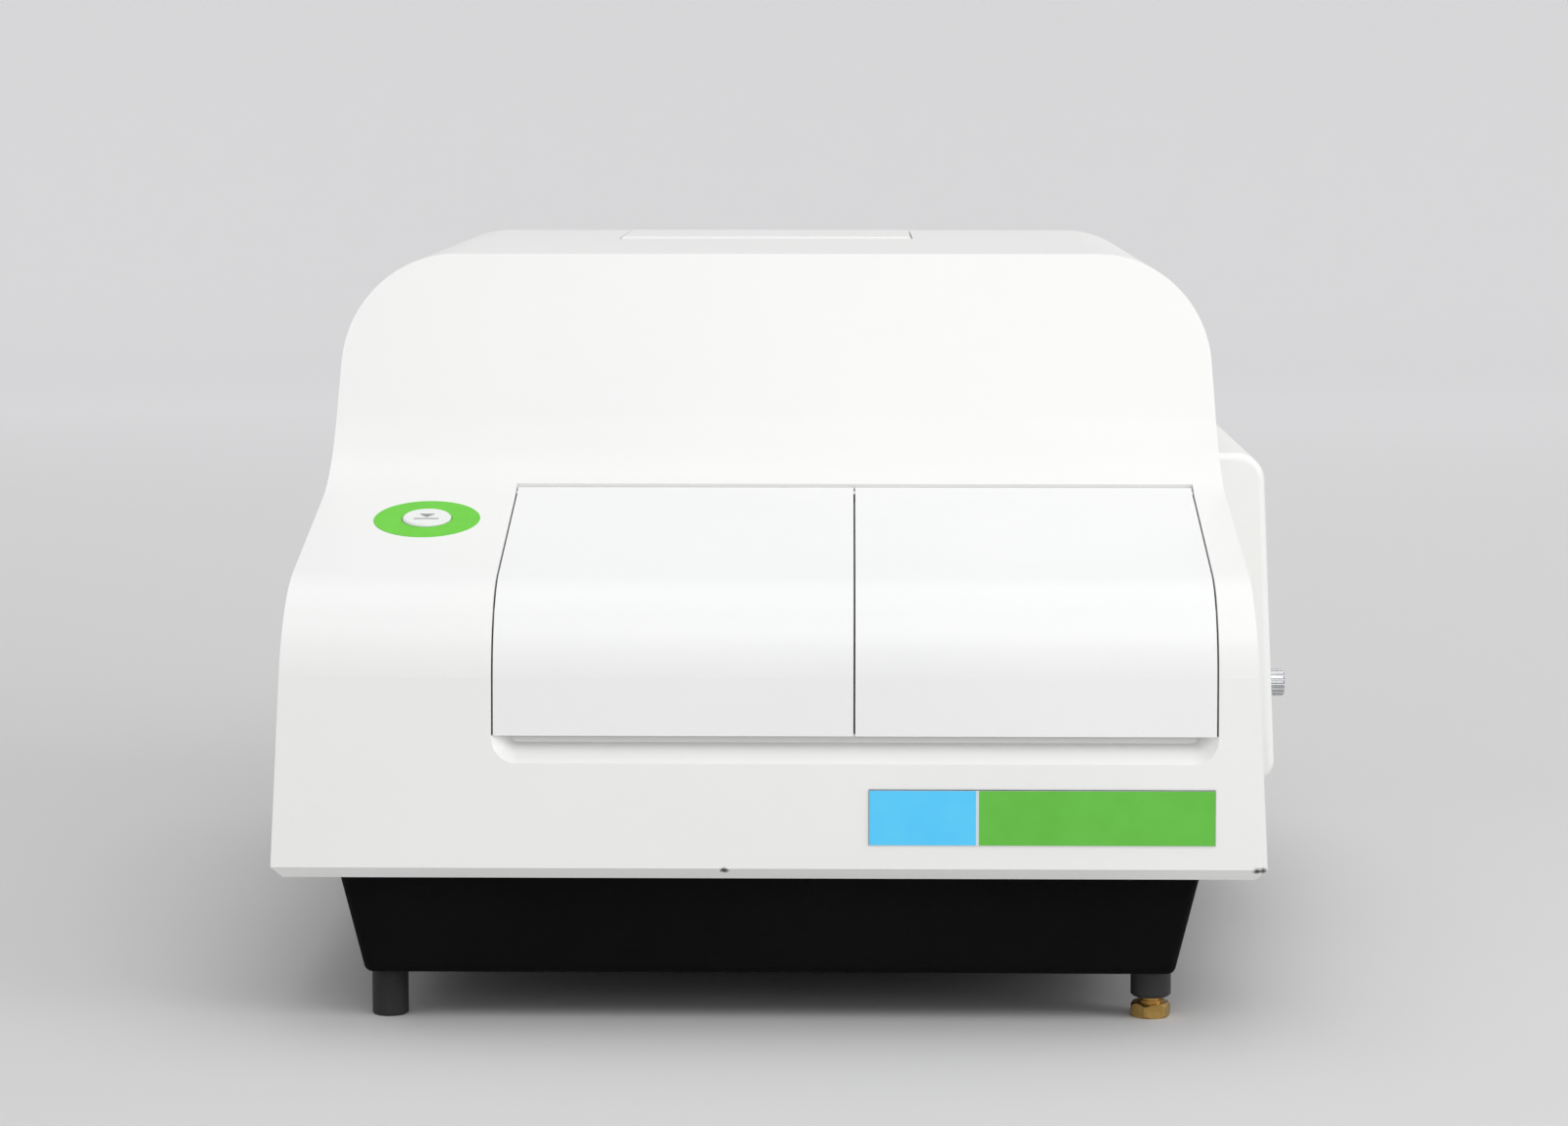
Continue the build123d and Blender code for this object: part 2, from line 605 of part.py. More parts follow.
# ---------------------------------------------------------------- side housing
def make_side_cover():
    """Drafted shell on the right wall, open towards the casing, with hinge knuckles at its rear."""
    draft = math.tan(math.radians(SIDE_DRAFT))
    points = [
        (wall_x(SIDE_BOTTOM_Z) + SIDE_GAP, SIDE_BOTTOM_Z),
        (SIDE_REACH_X, SIDE_BOTTOM_Z),
        (SIDE_REACH_X - (SIDE_TOP_Z - SIDE_BOTTOM_Z) * draft, SIDE_TOP_Z),
        (wall_x(SIDE_TOP_Z) + SIDE_GAP, SIDE_TOP_Z),
    ]
    outer = extrude_y(points, [0, SIDE_CORNER - 3, SIDE_CORNER, 0], SIDE_FRONT_Y, SIDE_REAR_Y)
    upright = [edge for edge in outer.edges() if edge.geom_type == GeomType.LINE
               and abs(edge.center().X - side_face_x(edge.center().Z)) < 1
               and abs(edge.tangent_at(0.5).Z) > 0.9]
    outer = fillet(upright, 4)
    hollow = inset(points, [SIDE_WALL, SIDE_WALL, SIDE_WALL, -5])
    inner_corner = SIDE_CORNER - SIDE_WALL
    radii = [0, inner_corner - 3, inner_corner, 0]
    inner = extrude_y(hollow, radii, SIDE_FRONT_Y + SIDE_WALL, SIDE_REAR_Y - SIDE_WALL)
    cover = outer - inner
    x, y = side_axis()
    for middle in side_lug_heights():
        knuckle = rod_z(middle - 7, middle + 7, x, y, BARREL_RADIUS)
        arm = block(x - BARREL_RADIUS, x + BARREL_RADIUS, SIDE_REAR_Y - 1, y, middle - 7, middle + 7)
        cover += knuckle + arm
        cover -= rod_z(middle - 8, middle + 8, x, y, HINGE_ROD_RADIUS + ROD_CLEARANCE)
    cover -= rod_x(wall_x(KNOB_Z), SIDE_REACH_X + 5, KNOB_Y, KNOB_Z, 3.0)
    for row in range(6):
        low = SIDE_BOTTOM_Z + 70 + 14 * row
        cover -= block(wall_x(low) + 6, SIDE_REACH_X - 14, SIDE_REAR_Y - 5, SIDE_REAR_Y + 2, low, low + 5)
    return cover


def make_side_thumbscrew():
    """Knurled quarter-turn fastener: fluted head, shank and cross pin end."""
    face = side_face_x(KNOB_Z) + 0.3
    head = rod_x(face + 1, face + KNOB_LENGTH - 0.3, KNOB_Y, KNOB_Z, KNOB_RADIUS)
    head = chamfer(head.edges().sort_by(Axis.X)[-1], 0.8)
    for flute in range(KNOB_FLUTES):
        turn = math.radians(360 * flute / KNOB_FLUTES)
        y, z = KNOB_Y + KNOB_RADIUS * math.cos(turn), KNOB_Z + KNOB_RADIUS * math.sin(turn)
        head -= rod_x(face + 2.5, face + KNOB_LENGTH + 1, y, z, 0.7)
    collar = rod_x(face, face + 1.2, KNOB_Y, KNOB_Z, KNOB_RADIUS - 1.2)
    shank = rod_x(side_face_x(KNOB_Z) - SIDE_WALL - 6, face + 1, KNOB_Y, KNOB_Z, 2.5)
    return head + collar + shank


def make_side_hinge_pins():
    """One pin through each hinge of the side housing."""
    x, y = side_axis()
    return [rod_z(middle - 13.5, middle + 13.5, x, y, HINGE_ROD_RADIUS) for middle in side_lug_heights()]


# ---------------------------------------------------------------- base, chassis and feet
def base_block(low_z, depth):
    """Tapered block between low_z and the chassis plate with rounded upright edges, moved inwards by depth."""
    height = PLATE_Z - low_z
    width, length = 2 * (BASE_HALF_TOP - depth), BASE_REAR_Y - BASE_FRONT_Y - 2 * depth
    side = height * math.tan(math.radians(BASE_TAPER))
    end = height * math.tan(math.radians(BASE_FRONT_TAPER))
    wedge = Wedge(width, height, length, side, end, width - side, length - end, align=(Align.MIN,) * 3)
    wedge = Pos(-width / 2, BASE_FRONT_Y + depth, PLATE_Z) * Rot(-90, 0, 0) * wedge
    upright = [edge for edge in wedge.edges() if abs(edge.tangent_at(0.5).Z) > 0.5]
    return fillet(upright, BASE_CORNER)


def make_base_pan():
    """Black tub under the casing with a rounded lower edge and cooling slots in its floor."""
    outer = base_block(BASE_BOTTOM_Z, 0)
    pan = fillet(outer.faces().sort_by(Axis.Z)[0].edges(), BASE_CORNER - 1)
    pan -= base_block(BASE_BOTTOM_Z + BASE_WALL, BASE_WALL)
    for row in range(7):
        y = 240 + 22 * row
        for side in (-1, 1):
            x = side * 90
            slot = extrude_z([(x - 35, y - 3), (x + 35, y - 3), (x + 35, y + 3), (x - 35, y + 3)], 2.5,
                             BASE_BOTTOM_Z - 1, BASE_BOTTOM_Z + BASE_WALL + 1)
            pan -= slot
    low, high = BASE_BOTTOM_Z - 1, BASE_BOTTOM_Z + BASE_WALL + 1
    return pan - rod_z(low, high, FOOT_X, FOOT_FRONT_Y, LEVEL_STEM_RADIUS + 1)


def plate_half():
    """Half width of the chassis plate, clear of the cover's bevelled rim."""
    bevel = RIM_BEVEL_IN / RIM_BEVEL_DOWN
    rim = CASE_WIDTH / 2 - (RIM_Z - PLATE_Z) * bevel - COVER_WALL * math.hypot(1, bevel)
    return rim - PLATE_GAP


def make_chassis_plate():
    """Flat plate that closes the base and carries the cover and the mechanism."""
    front = CASE_WIDTH / 2 - plate_half()
    points = [(-plate_half(), front), (plate_half(), front)]
    points += [(plate_half(), CASE_DEPTH - front), (-plate_half(), CASE_DEPTH - front)]
    plate = extrude_z(points, 4, PLATE_Z, PLATE_Z + PLATE_THICK)
    for x, y in boss_places():
        plate -= rod_z(PLATE_Z - 1, PLATE_Z + PLATE_THICK + 1, x, y, SCREW_RADIUS + 0.2)
    plate -= rod_z(PLATE_Z - 1, PLATE_Z + PLATE_THICK + 1, BELT_X, PULLEY_REAR_Y, 11.5)
    for x, y, width, depth in ((-90, 506, 50, 26), (40, 120, 50, 26)):
        corners = [(x, y), (x + width, y), (x + width, y + depth), (x, y + depth)]
        plate -= extrude_z(corners, 6, PLATE_Z - 1, PLATE_Z + PLATE_THICK + 1)
    return plate


def make_cover_screws():
    """Screws that hold the cover's bosses to the chassis plate from below."""
    screws = []
    for x, y in boss_places():
        head = rod_z(PLATE_Z - SCREW_HEAD_HEIGHT, PLATE_Z, x, y, SCREW_HEAD_RADIUS)
        head -= extrude(Pos(x, y, PLATE_Z - SCREW_HEAD_HEIGHT) * RegularPolygon(1.6, 6), 1.2)
        screws.append(head + rod_z(PLATE_Z, PLATE_Z + SCREW_LENGTH, x, y, SCREW_RADIUS))
    return screws


def make_fixed_feet():
    """Three plain round feet under the base."""
    feet = []
    for x, y in ((-FOOT_X, FOOT_FRONT_Y), (-FOOT_X, FOOT_REAR_Y), (FOOT_X, FOOT_REAR_Y)):
        foot = rod_z(0, BASE_BOTTOM_Z, x, y, FOOT_RADIUS)
        feet.append(chamfer(foot.edges().sort_by(Axis.Z)[0], 0.8))
    return feet


def make_levelling_post():
    """Bored post under the base that the levelling screw runs in."""
    post = rod_z(POST_BOTTOM_Z, BASE_BOTTOM_Z, FOOT_X, FOOT_FRONT_Y, POST_RADIUS)
    post = chamfer(post.edges().sort_by(Axis.Z)[0], 1.0)
    return post - rod_z(0, BASE_BOTTOM_Z + 1, FOOT_X, FOOT_FRONT_Y, LEVEL_STEM_RADIUS + SLIDING_CLEARANCE)


def make_levelling_foot():
    """Brass screw with a hexagonal foot; grooves stand for its thread below the post."""
    place = Pos(FOOT_X, FOOT_FRONT_Y, 0) * Rot(0, 0, 12)
    hexagon = place * RegularPolygon(LEVEL_HEX / 2, 6, major_radius=False)
    foot = extrude(hexagon, LEVEL_HEX_HEIGHT)
    round_off = rod_z(0, LEVEL_HEX_HEIGHT, FOOT_X, FOOT_FRONT_Y, LEVEL_HEX / 2 + 0.9)
    foot &= chamfer(round_off.edges(), 1.1)
    collar = rod_z(LEVEL_HEX_HEIGHT, LEVEL_HEX_HEIGHT + 1.2, FOOT_X, FOOT_FRONT_Y, LEVEL_STEM_RADIUS + 1.2)
    stem_top = BASE_BOTTOM_Z + LEVEL_GRIP + LEVEL_TRAVEL
    stem = rod_z(LEVEL_HEX_HEIGHT, stem_top, FOOT_X, FOOT_FRONT_Y, LEVEL_STEM_RADIUS)
    return foot + collar + stem


# ---------------------------------------------------------------- rear panel and its fittings
def panel_span():
    """The rear panel's front and rear faces as (y0, y1)."""
    rear = CASE_DEPTH - COVER_WALL
    return rear - PANEL_THICK, rear


def make_rear_panel():
    """Sheet that closes the rear opening, cut for fan, inlet, switch, ports and cooling slots."""
    front, rear = panel_span()
    low = RIM_Z + 4
    corners = [(-PANEL_HALF, low), (PANEL_HALF, low), (PANEL_HALF, PANEL_TOP_Z), (-PANEL_HALF, PANEL_TOP_Z)]
    panel = extrude_y(corners, 4, front, rear)
    cut = (front - 1, rear + 1)
    panel -= rod_y(*cut, FAN_X, FAN_Z, FAN_BORE)
    panel -= block(INLET_X - 14, INLET_X + 14, *cut, INLET_Z - 10, INLET_Z + 10)
    panel -= block(INLET_X - 9.2, INLET_X + 9.2, *cut, SWITCH_Z - 6.2, SWITCH_Z + 6.2)
    panel -= block(60, 84, *cut, INLET_Z - 5, INLET_Z + 5)
    panel -= block(20, 33, *cut, INLET_Z - 6, INLET_Z + 6)
    for row in range(9):
        z = 196 + 10 * row
        slot = [(20, z - 2.2), (150, z - 2.2), (150, z + 2.2), (20, z + 2.2)]
        panel -= extrude_y(slot, 2, *cut)
    return panel


def make_power_inlet():
    """Flanged appliance inlet with three blades in a recess."""
    front, rear = panel_span()
    flange = block(INLET_X - 20, INLET_X + 20, rear, rear + 2, INLET_Z - 13, INLET_Z + 13)
    body = block(INLET_X - 13.7, INLET_X + 13.7, front - 22, rear + 2, INLET_Z - 9.7, INLET_Z + 9.7)
    recess = [(INLET_X - 12, INLET_Z - 8.2), (INLET_X + 12, INLET_Z - 8.2), (INLET_X + 12, INLET_Z + 3.5)]
    recess += [(INLET_X + 7.5, INLET_Z + 8.2), (INLET_X - 7.5, INLET_Z + 8.2), (INLET_X - 12, INLET_Z + 3.5)]
    inlet = flange + body - extrude_y(recess, 0.8, rear - 15, rear + 3)
    for x, z in ((INLET_X, INLET_Z + 3), (INLET_X - 7, INLET_Z - 3), (INLET_X + 7, INLET_Z - 3)):
        inlet += block(x - 1, x + 1, rear - 16, rear - 1, z - 2, z + 2)
    return inlet


def make_serial_port():
    """Nine-way D-shaped connector with its two hex posts."""
    front, rear = panel_span()
    body = block(61, 83, front - 10, rear, INLET_Z - 4.6, INLET_Z + 4.6)
    shell = [(63.8, INLET_Z - 3.8), (80.2, INLET_Z - 3.8), (81.4, INLET_Z + 3.8), (62.6, INLET_Z + 3.8)]
    port = body + extrude_y(shell, 1.5, rear - 1, rear + 3.5)
    port -= extrude_y(inset(shell, [0.6] * 4), 1.0, rear - 3, rear + 4)
    for column in range(5):
        port += rod_y(rear - 4, rear + 2, 66.5 + 2.75 * column, INLET_Z + 1.4, 0.5)
    return port


def make_usb_port():
    """Square data socket with its tongue."""
    front, rear = panel_span()
    port = block(20.4, 32.6, front - 14, rear + 1, INLET_Z - 5.6, INLET_Z + 5.6)
    port -= block(21.2, 31.8, rear - 8, rear + 2, INLET_Z - 4.8, INLET_Z + 4.8)
    return port + block(23.7, 29.3, rear - 9, rear, INLET_Z - 1.6, INLET_Z + 1.6)


def make_switch_frame():
    """Frame of the rocker switch, open at the rear, with pivot holes in its side walls."""
    front, rear = panel_span()
    frame = block(INLET_X - 9, INLET_X + 9, front - 14, rear, SWITCH_Z - 6, SWITCH_Z + 6)
    frame += block(INLET_X - 10.5, INLET_X + 10.5, rear, rear + 1.5, SWITCH_Z - 7.5, SWITCH_Z + 7.5)
    frame -= block(INLET_X - 7.5, INLET_X + 7.5, front - 12, rear + 2, SWITCH_Z - 4.8, SWITCH_Z + 4.8)
    return frame - rod_x(INLET_X - 8.6, INLET_X + 8.6, rear - 4, SWITCH_Z, 1.05)


def make_power_switch():
    """Rocker with two tilted faces on a pivot pin, at rest pressed to its lower side."""
    pivot_y = panel_span()[1] - 4
    points = [(-2.0, -2.0), (0.5, -3.6), (5.0, -3.6), (4.3, 0.0), (5.0, 3.6), (0.5, 3.6), (-2.0, 2.0)]
    body = extrude_x(points, [0.3, 0.3, 0.4, 2.0, 0.4, 0.3, 0.3], INLET_X - 7.1, INLET_X + 7.1)
    rocker = body + rod_x(INLET_X - 8.4, INLET_X + 8.4, 0, 0, 1.0)
    return Pos(0, pivot_y, SWITCH_Z) * Rot(-SWITCH_THROW / 2, 0, 0) * rocker


# ---------------------------------------------------------------- fan
def make_fan_housing():
    """Square fan frame with a round duct, four struts and the motor's seat."""
    front, _ = panel_span()
    half = FAN_SIZE / 2
    y0, y1 = front - FAN_DEPTH, front
    corners = [(FAN_X - half, FAN_Z - half), (FAN_X + half, FAN_Z - half)]
    corners += [(FAN_X + half, FAN_Z + half), (FAN_X - half, FAN_Z + half)]
    frame = extrude_y(corners, 4, y0, y1) - rod_y(y0 - 1, y1 + 1, FAN_X, FAN_Z, FAN_BORE)
    for arm in range(4):
        strut = block(-2, 2, y0, y0 + 3, 12, FAN_BORE + 1)
        frame += Pos(FAN_X, 0, FAN_Z) * Rot(0, 45 + 90 * arm, 0) * strut
    frame += rod_y(y0, y0 + 3, FAN_X, FAN_Z, 16)
    frame += rod_y(y0 + 3, y0 + 12, FAN_X, FAN_Z, 3.0)
    return frame


def make_fan_rotor():
    """Hub with twisted blades, bored for the seat's stub."""
    y0 = panel_span()[0] - FAN_DEPTH
    hub = rod_y(y0 + 4, y0 + 20, FAN_X, FAN_Z, 16)
    rotor = hub
    for blade in range(FAN_BLADES):
        paddle = Pos(0, y0 + 12, 25) * Rot(0, 0, 38) * Box(18, 1.6, 22)
        rotor += Pos(FAN_X, 0, FAN_Z) * Rot(0, 360 * blade / FAN_BLADES, 0) * paddle
    rotor &= rod_y(y0 + 4, y0 + 22, FAN_X, FAN_Z, FAN_BORE - 1.2)
    return rotor - rod_y(y0 + 3, y0 + 14, FAN_X, FAN_Z, 3.0 + SLIDING_CLEARANCE)


def make_fan_guard():
    """Finger guard on the rear face: flat rings and spokes."""
    rear = panel_span()[1]
    guard = None
    for radius in (12.0, 24.0, 36.5):
        disc = rod_y(rear, rear + 1.5, FAN_X, FAN_Z, radius + 0.8)
        ring = disc - rod_y(rear - 1, rear + 3, FAN_X, FAN_Z, radius - 0.8)
        guard = ring if guard is None else guard + ring
    for arm in range(4):
        spoke = block(-0.9, 0.9, rear, rear + 1.5, 11.5, 47)
        guard += Pos(FAN_X, 0, FAN_Z) * Rot(0, 45 + 90 * arm, 0) * spoke
    return guard


# ---------------------------------------------------------------- badge, ring and button
def badge_field(left, right, border, low, high):
    """Flat field on the nose between two distances from the badge's left edge."""
    face = nose_plane(BADGE_X, BADGE_Z)
    width = right - left
    middle = (left + right) / 2 - BADGE_WIDTH / 2
    field = Pos(middle, 0, (low + high) / 2) * Box(width, BADGE_HEIGHT - 2 * border, high - low)
    return face * field


def make_badge():
    """Backing plate with a blue and a green field, all blank."""
    backing = badge_field(0, BADGE_WIDTH, 0, 0, 0.5)
    blue = badge_field(BADGE_BORDER, BADGE_BLUE, BADGE_BORDER, 0.5, 0.8)
    green = badge_field(BADGE_BLUE + BADGE_DIVIDER, BADGE_WIDTH - BADGE_BORDER, BADGE_BORDER, 0.5, 0.8)
    return backing, blue, green


def make_load_ring():
    """Flat ring set into the slope round the load button."""
    ring = Pos(0, 0, RING_PROUD - RING_THICK / 2) * Cylinder(RING_RADIUS, RING_THICK)
    ring = chamfer(ring.edges().sort_by(Axis.Z)[-1], 0.2)
    ring -= Cylinder(BUTTON_RADIUS + 0.45, 10)
    return surface_plane(BUTTON_X, BUTTON_Y) * ring


def make_load_button():
    """Button cap with a soft rim, a flange that keeps it in, and a plunger."""
    proud = BUTTON_RISE + RING_PROUD
    cap = Pos(0, 0, (proud - 8) / 2) * Cylinder(BUTTON_RADIUS, 8 + proud)
    cap = chamfer(cap.edges().sort_by(Axis.Z)[-1], 0.8)
    flange = Pos(0, 0, -COVER_WALL - 1.4) * Cylinder(BUTTON_RADIUS + 2.2, 2)
    plunger = Pos(0, 0, -11) * Cylinder(2.5, 8)
    return surface_plane(BUTTON_X, BUTTON_Y) * (cap + flange + plunger)


def make_load_switch():
    """Switch under the load button on a bracket that hangs from the slope."""
    floor = -15 - BUTTON_TRAVEL - 0.3
    body = Pos(0, 0, floor - 4) * Box(14, 14, 8)
    shelf = Pos(0, 0, floor - 9) * Box(60, 18, 2)
    switch = body + shelf
    for side in (-1, 1):
        height = -COVER_WALL - floor + 10
        switch += Pos(side * 29, 0, -COVER_WALL - height / 2) * Box(2, 18, height)
    return surface_plane(BUTTON_X, BUTTON_Y) * switch


# ---------------------------------------------------------------- bays behind the doors
def make_liner(x0, x1, slot):
    """Open-topped tub under a door; its rim follows the door, slot is the hole in its rear wall."""
    rim_depth = COVER_WALL + LINER_GAP
    outer, radii = side_outline(rim_depth)
    zone = [(LINER_FRONT_Y, LINER_FLOOR_Z), (LINER_REAR_Y, LINER_FLOOR_Z)]
    zone += [(LINER_REAR_Y, CASE_HEIGHT), (LINER_FRONT_Y, CASE_HEIGHT)]
    axis_y, axis_z = hinge_axis()
    tub = extrude_x(outer, radii, x0, x1) & extrude_x(zone, 0, x0, x1)
    tub -= rod_x(x0 - 1, x1 + 1, axis_y, axis_z, BARREL_RADIUS + 4)
    inner = inset(zone, [LINER_WALL, LINER_WALL, -5, LINER_WALL])
    tub -= extrude_x(inner, 0, x0 + LINER_WALL, x1 - LINER_WALL)
    for x in (x0 + 8, x1 - 8):
        for y in (LINER_FRONT_Y + 8, LINER_REAR_Y - 8):
            tub += rod_z(PLATE_Z + PLATE_THICK, LINER_FLOOR_Z + 1, x, y, 5)
    return tub - slot


def make_loading_bay():
    """Left tub, where the plate carrier comes forward through the slot in its rear wall."""
    x0, x1 = DOOR_LEFT_X - 3, DOOR_SEAM_X - 0.3
    reach = CARRIER_LENGTH / 2 + 3
    slot = block(PARK_X - reach, PARK_X + reach, LINER_REAR_Y - 10, LINER_REAR_Y + 1,
                 SLOT_BOTTOM_Z, SLOT_TOP_Z)
    return make_liner(x0, x1, slot)


def make_filter_bay():
    """Right tub, where the emission filter slide is drawn out by its knob."""
    x0, x1 = DOOR_SEAM_X + 0.3, DOOR_RIGHT_X + 3
    slot = rod_y(LINER_REAR_Y - 10, LINER_REAR_Y + 1, OPTIC_X, SLIDE_Z, 5.0)
    return make_liner(x0, x1, slot)


# ---------------------------------------------------------------- plate transport
def make_y_rods():
    """Two guide rods of the carriage."""
    return [rod_y(Y_ROD_START, Y_ROD_END, side * Y_ROD_X, Y_ROD_Z, Y_ROD_RADIUS) for side in (-1, 1)]


def make_rod_blocks():
    """Four blocks on the chassis plate that hold the ends of the guide rods."""
    blocks = []
    low, high = PLATE_Z + PLATE_THICK, Y_ROD_Z + Y_ROD_RADIUS + 4
    for side in (-1, 1):
        x = side * Y_ROD_X
        for y0, y1 in ((Y_ROD_START - 0.5, Y_ROD_START + 8), (Y_ROD_END - 8, Y_ROD_END + 0.5)):
            face = [(x - 10, low), (x + 10, low), (x + 7, high), (x - 7, high)]
            body = extrude_y(face, [0, 0, 2, 2], y0, y1)
            seat = rod_y(Y_ROD_START, Y_ROD_END, x, Y_ROD_Z, Y_ROD_RADIUS + SLIDING_CLEARANCE / 2)
            blocks.append(body - seat)
    return blocks


def x_rod_places():
    """The carriage's two cross rods as y values at rest."""
    return [CARRIAGE_Y - X_ROD_SPACING / 2, CARRIAGE_Y + X_ROD_SPACING / 2]


def make_y_carriage():
    """Two bearing blocks on the guide rods joined by a web, with a belt clamp on the right."""
    y0, y1 = CARRIAGE_Y - CARRIAGE_DEPTH / 2, CARRIAGE_Y + CARRIAGE_DEPTH / 2
    inner = CARRIAGE_HALF - BLOCK_WIDTH
    top = X_ROD_Z + 8
    carriage = block(-inner - 1, inner + 1, y0, y1, 83.0, 87.0)
    for side in (-1, 1):
        low_x, high_x = sorted((side * inner, side * CARRIAGE_HALF))
        carriage += extrude_x([(y0, 83.0), (y1, 83.0), (y1, top), (y0, top)], [0, 0, 3, 3], low_x, high_x)
    for side in (-1, 1):
        bore = Y_ROD_RADIUS + SLIDING_CLEARANCE
        carriage -= rod_y(y0 - 1, y1 + 1, side * Y_ROD_X, Y_ROD_Z, bore)
    seat = X_ROD_RADIUS + SLIDING_CLEARANCE / 2
    for y in x_rod_places():
        carriage -= rod_x(-inner - 5, inner + 5, y, X_ROD_Z, seat)
    bore = LEADSCREW_RADIUS + SLIDING_CLEARANCE
    carriage -= rod_x(-CARRIAGE_HALF - 1, inner + 6, CARRIAGE_Y, X_ROD_Z, bore)
    run = BELT_X - PULLEY_RADIUS - BELT_THICK
    clamp = block(CARRIAGE_HALF - 1, run - 0.3, CARRIAGE_Y - 8, CARRIAGE_Y + 8, 88, BELT_Z + 5)
    return carriage + clamp


def make_x_rods():
    """Two cross rods held by the carriage."""
    reach = CARRIAGE_HALF - BLOCK_WIDTH + 4.5
    return [rod_x(-reach, reach, y, X_ROD_Z, X_ROD_RADIUS) for y in x_rod_places()]


def make_x_motor():
    """Small stepper motor on the carriage's left block, bored for the lead screw."""
    end = -CARRIAGE_HALF
    body = block(end - 30, end, CARRIAGE_Y - 14, CARRIAGE_Y + 14, X_ROD_Z - 14, X_ROD_Z + 14)
    body = chamfer(body.edges().filter_by(Axis.X), 2.5)
    for x in (end - 8, end - 23):
        band = block(x, x + 1, CARRIAGE_Y - 15, CARRIAGE_Y + 15, X_ROD_Z - 15, X_ROD_Z + 15)
        body -= band - block(x, x + 1, CARRIAGE_Y - 13.4, CARRIAGE_Y + 13.4, X_ROD_Z - 13.4, X_ROD_Z + 13.4)
    return body - rod_x(end - 20, end + 1, CARRIAGE_Y, X_ROD_Z, LEADSCREW_RADIUS + SLIDING_CLEARANCE)


def make_x_leadscrew():
    """Lead screw between the motor and the far block; a flat marks its end."""
    right = CARRIAGE_HALF - BLOCK_WIDTH + 5.5
    screw = rod_x(-CARRIAGE_HALF - 18, right, CARRIAGE_Y, X_ROD_Z, LEADSCREW_RADIUS)
    collar = CARRIAGE_HALF - BLOCK_WIDTH - 5
    return screw + rod_x(collar, collar + 4, CARRIAGE_Y, X_ROD_Z, 5.5)


def make_plate_carrier():
    """Tray with the microplate nest, its arm and the block that slides on the cross rods."""
    top = CARRIER_Z + CARRIER_THICK
    half_x, half_y = CARRIER_LENGTH / 2, CARRIER_WIDTH / 2
    corners = [(PARK_X - half_x, PARK_Y - half_y), (PARK_X + half_x, PARK_Y - half_y)]
    corners += [(PARK_X + half_x, PARK_Y + half_y), (PARK_X - half_x, PARK_Y + half_y)]
    tray = extrude_z(corners, 6, CARRIER_Z, top)
    nest_x = PLATE_LENGTH / 2 + NEST_CLEARANCE
    nest_y = PLATE_WIDTH / 2 + NEST_CLEARANCE
    tray -= block(PARK_X - nest_x, PARK_X + nest_x, PARK_Y - nest_y, PARK_Y + nest_y,
                  top - NEST_DEPTH, top + 1)
    window = [(PARK_X - nest_x + 8, PARK_Y - nest_y + 8), (PARK_X + nest_x - 8, PARK_Y - nest_y + 8)]
    window += [(PARK_X + nest_x - 8, PARK_Y + nest_y - 8), (PARK_X - nest_x + 8, PARK_Y + nest_y - 8)]
    tray -= extrude_z(window, 4, CARRIER_Z - 1, top)
    notch_y = PARK_Y - half_y
    tray -= block(PARK_X - 14, PARK_X + 14, notch_y - 2, notch_y + 8, top - NEST_DEPTH, top + 1)
    front = CARRIAGE_Y - CARRIAGE_DEPTH / 2
    arm_top = X_ROD_Z + 12
    arm = block(PARK_X - 24, PARK_X + 24, PARK_Y + half_y - 1, CARRIAGE_Y + 15, CARRIER_Z + 2, arm_top)
    slider = block(PARK_X - SLIDER_HALF, PARK_X + SLIDER_HALF, front + 2, CARRIAGE_Y + 15, 89.0, arm_top)
    carrier = tray + arm + slider
    for y in x_rod_places():
        carrier -= rod_x(PARK_X - 40, PARK_X + 40, y, X_ROD_Z, X_ROD_RADIUS + SLIDING_CLEARANCE)
    bore = LEADSCREW_RADIUS + SLIDING_CLEARANCE
    return carrier - rod_x(PARK_X - 40, PARK_X + 40, CARRIAGE_Y, X_ROD_Z, bore)


def make_y_motor():
    """Stepper motor under the chassis plate with its flange in the plate's hole."""
    half = MOTOR_SIZE / 2
    body = block(BELT_X - half, BELT_X + half, PULLEY_REAR_Y - half, PULLEY_REAR_Y + half,
                 PLATE_Z - 34, PLATE_Z)
    body = chamfer(body.edges().filter_by(Axis.Z), 3)
    pilot = rod_z(PLATE_Z, PLATE_Z + PLATE_THICK, BELT_X, PULLEY_REAR_Y, 11)
    stub = rod_z(PLATE_Z + PLATE_THICK, BELT_Z + 4, BELT_X, PULLEY_REAR_Y, 2.5)
    return body + pilot + stub


def make_pulley(y, bore):
    """Toothed belt pulley between two flanges, its hub resting low on its shaft."""
    low, high = BELT_Z - BELT_WIDTH / 2 - 0.5, BELT_Z + BELT_WIDTH / 2 + 0.5
    core = rod_z(low, high, BELT_X, y, PULLEY_RADIUS)
    for tooth in range(PULLEY_TEETH):
        turn = math.radians(360 * tooth / PULLEY_TEETH)
        reach = PULLEY_RADIUS + 0.35
        core -= rod_z(low - 1, high + 1, BELT_X + reach * math.cos(turn), y + reach * math.sin(turn), 0.9)
    rim = PULLEY_RADIUS + 2.2
    flanges = rod_z(low - 1.2, low, BELT_X, y, rim) + rod_z(high, high + 1.2, BELT_X, y, rim)
    hub = rod_z(low - 5, low, BELT_X, y, 6)
    return core + flanges + hub - rod_z(low - 6, high + 2, BELT_X, y, bore)


def make_idler_post():
    """Post on the chassis plate that carries the idler pulley."""
    floor = PLATE_Z + PLATE_THICK
    post = rod_z(floor, BELT_Z - BELT_WIDTH / 2 - 6, BELT_X, PULLEY_FRONT_Y, 7)
    return post + rod_z(floor, BELT_Z + 5, BELT_X, PULLEY_FRONT_Y, 2.5)


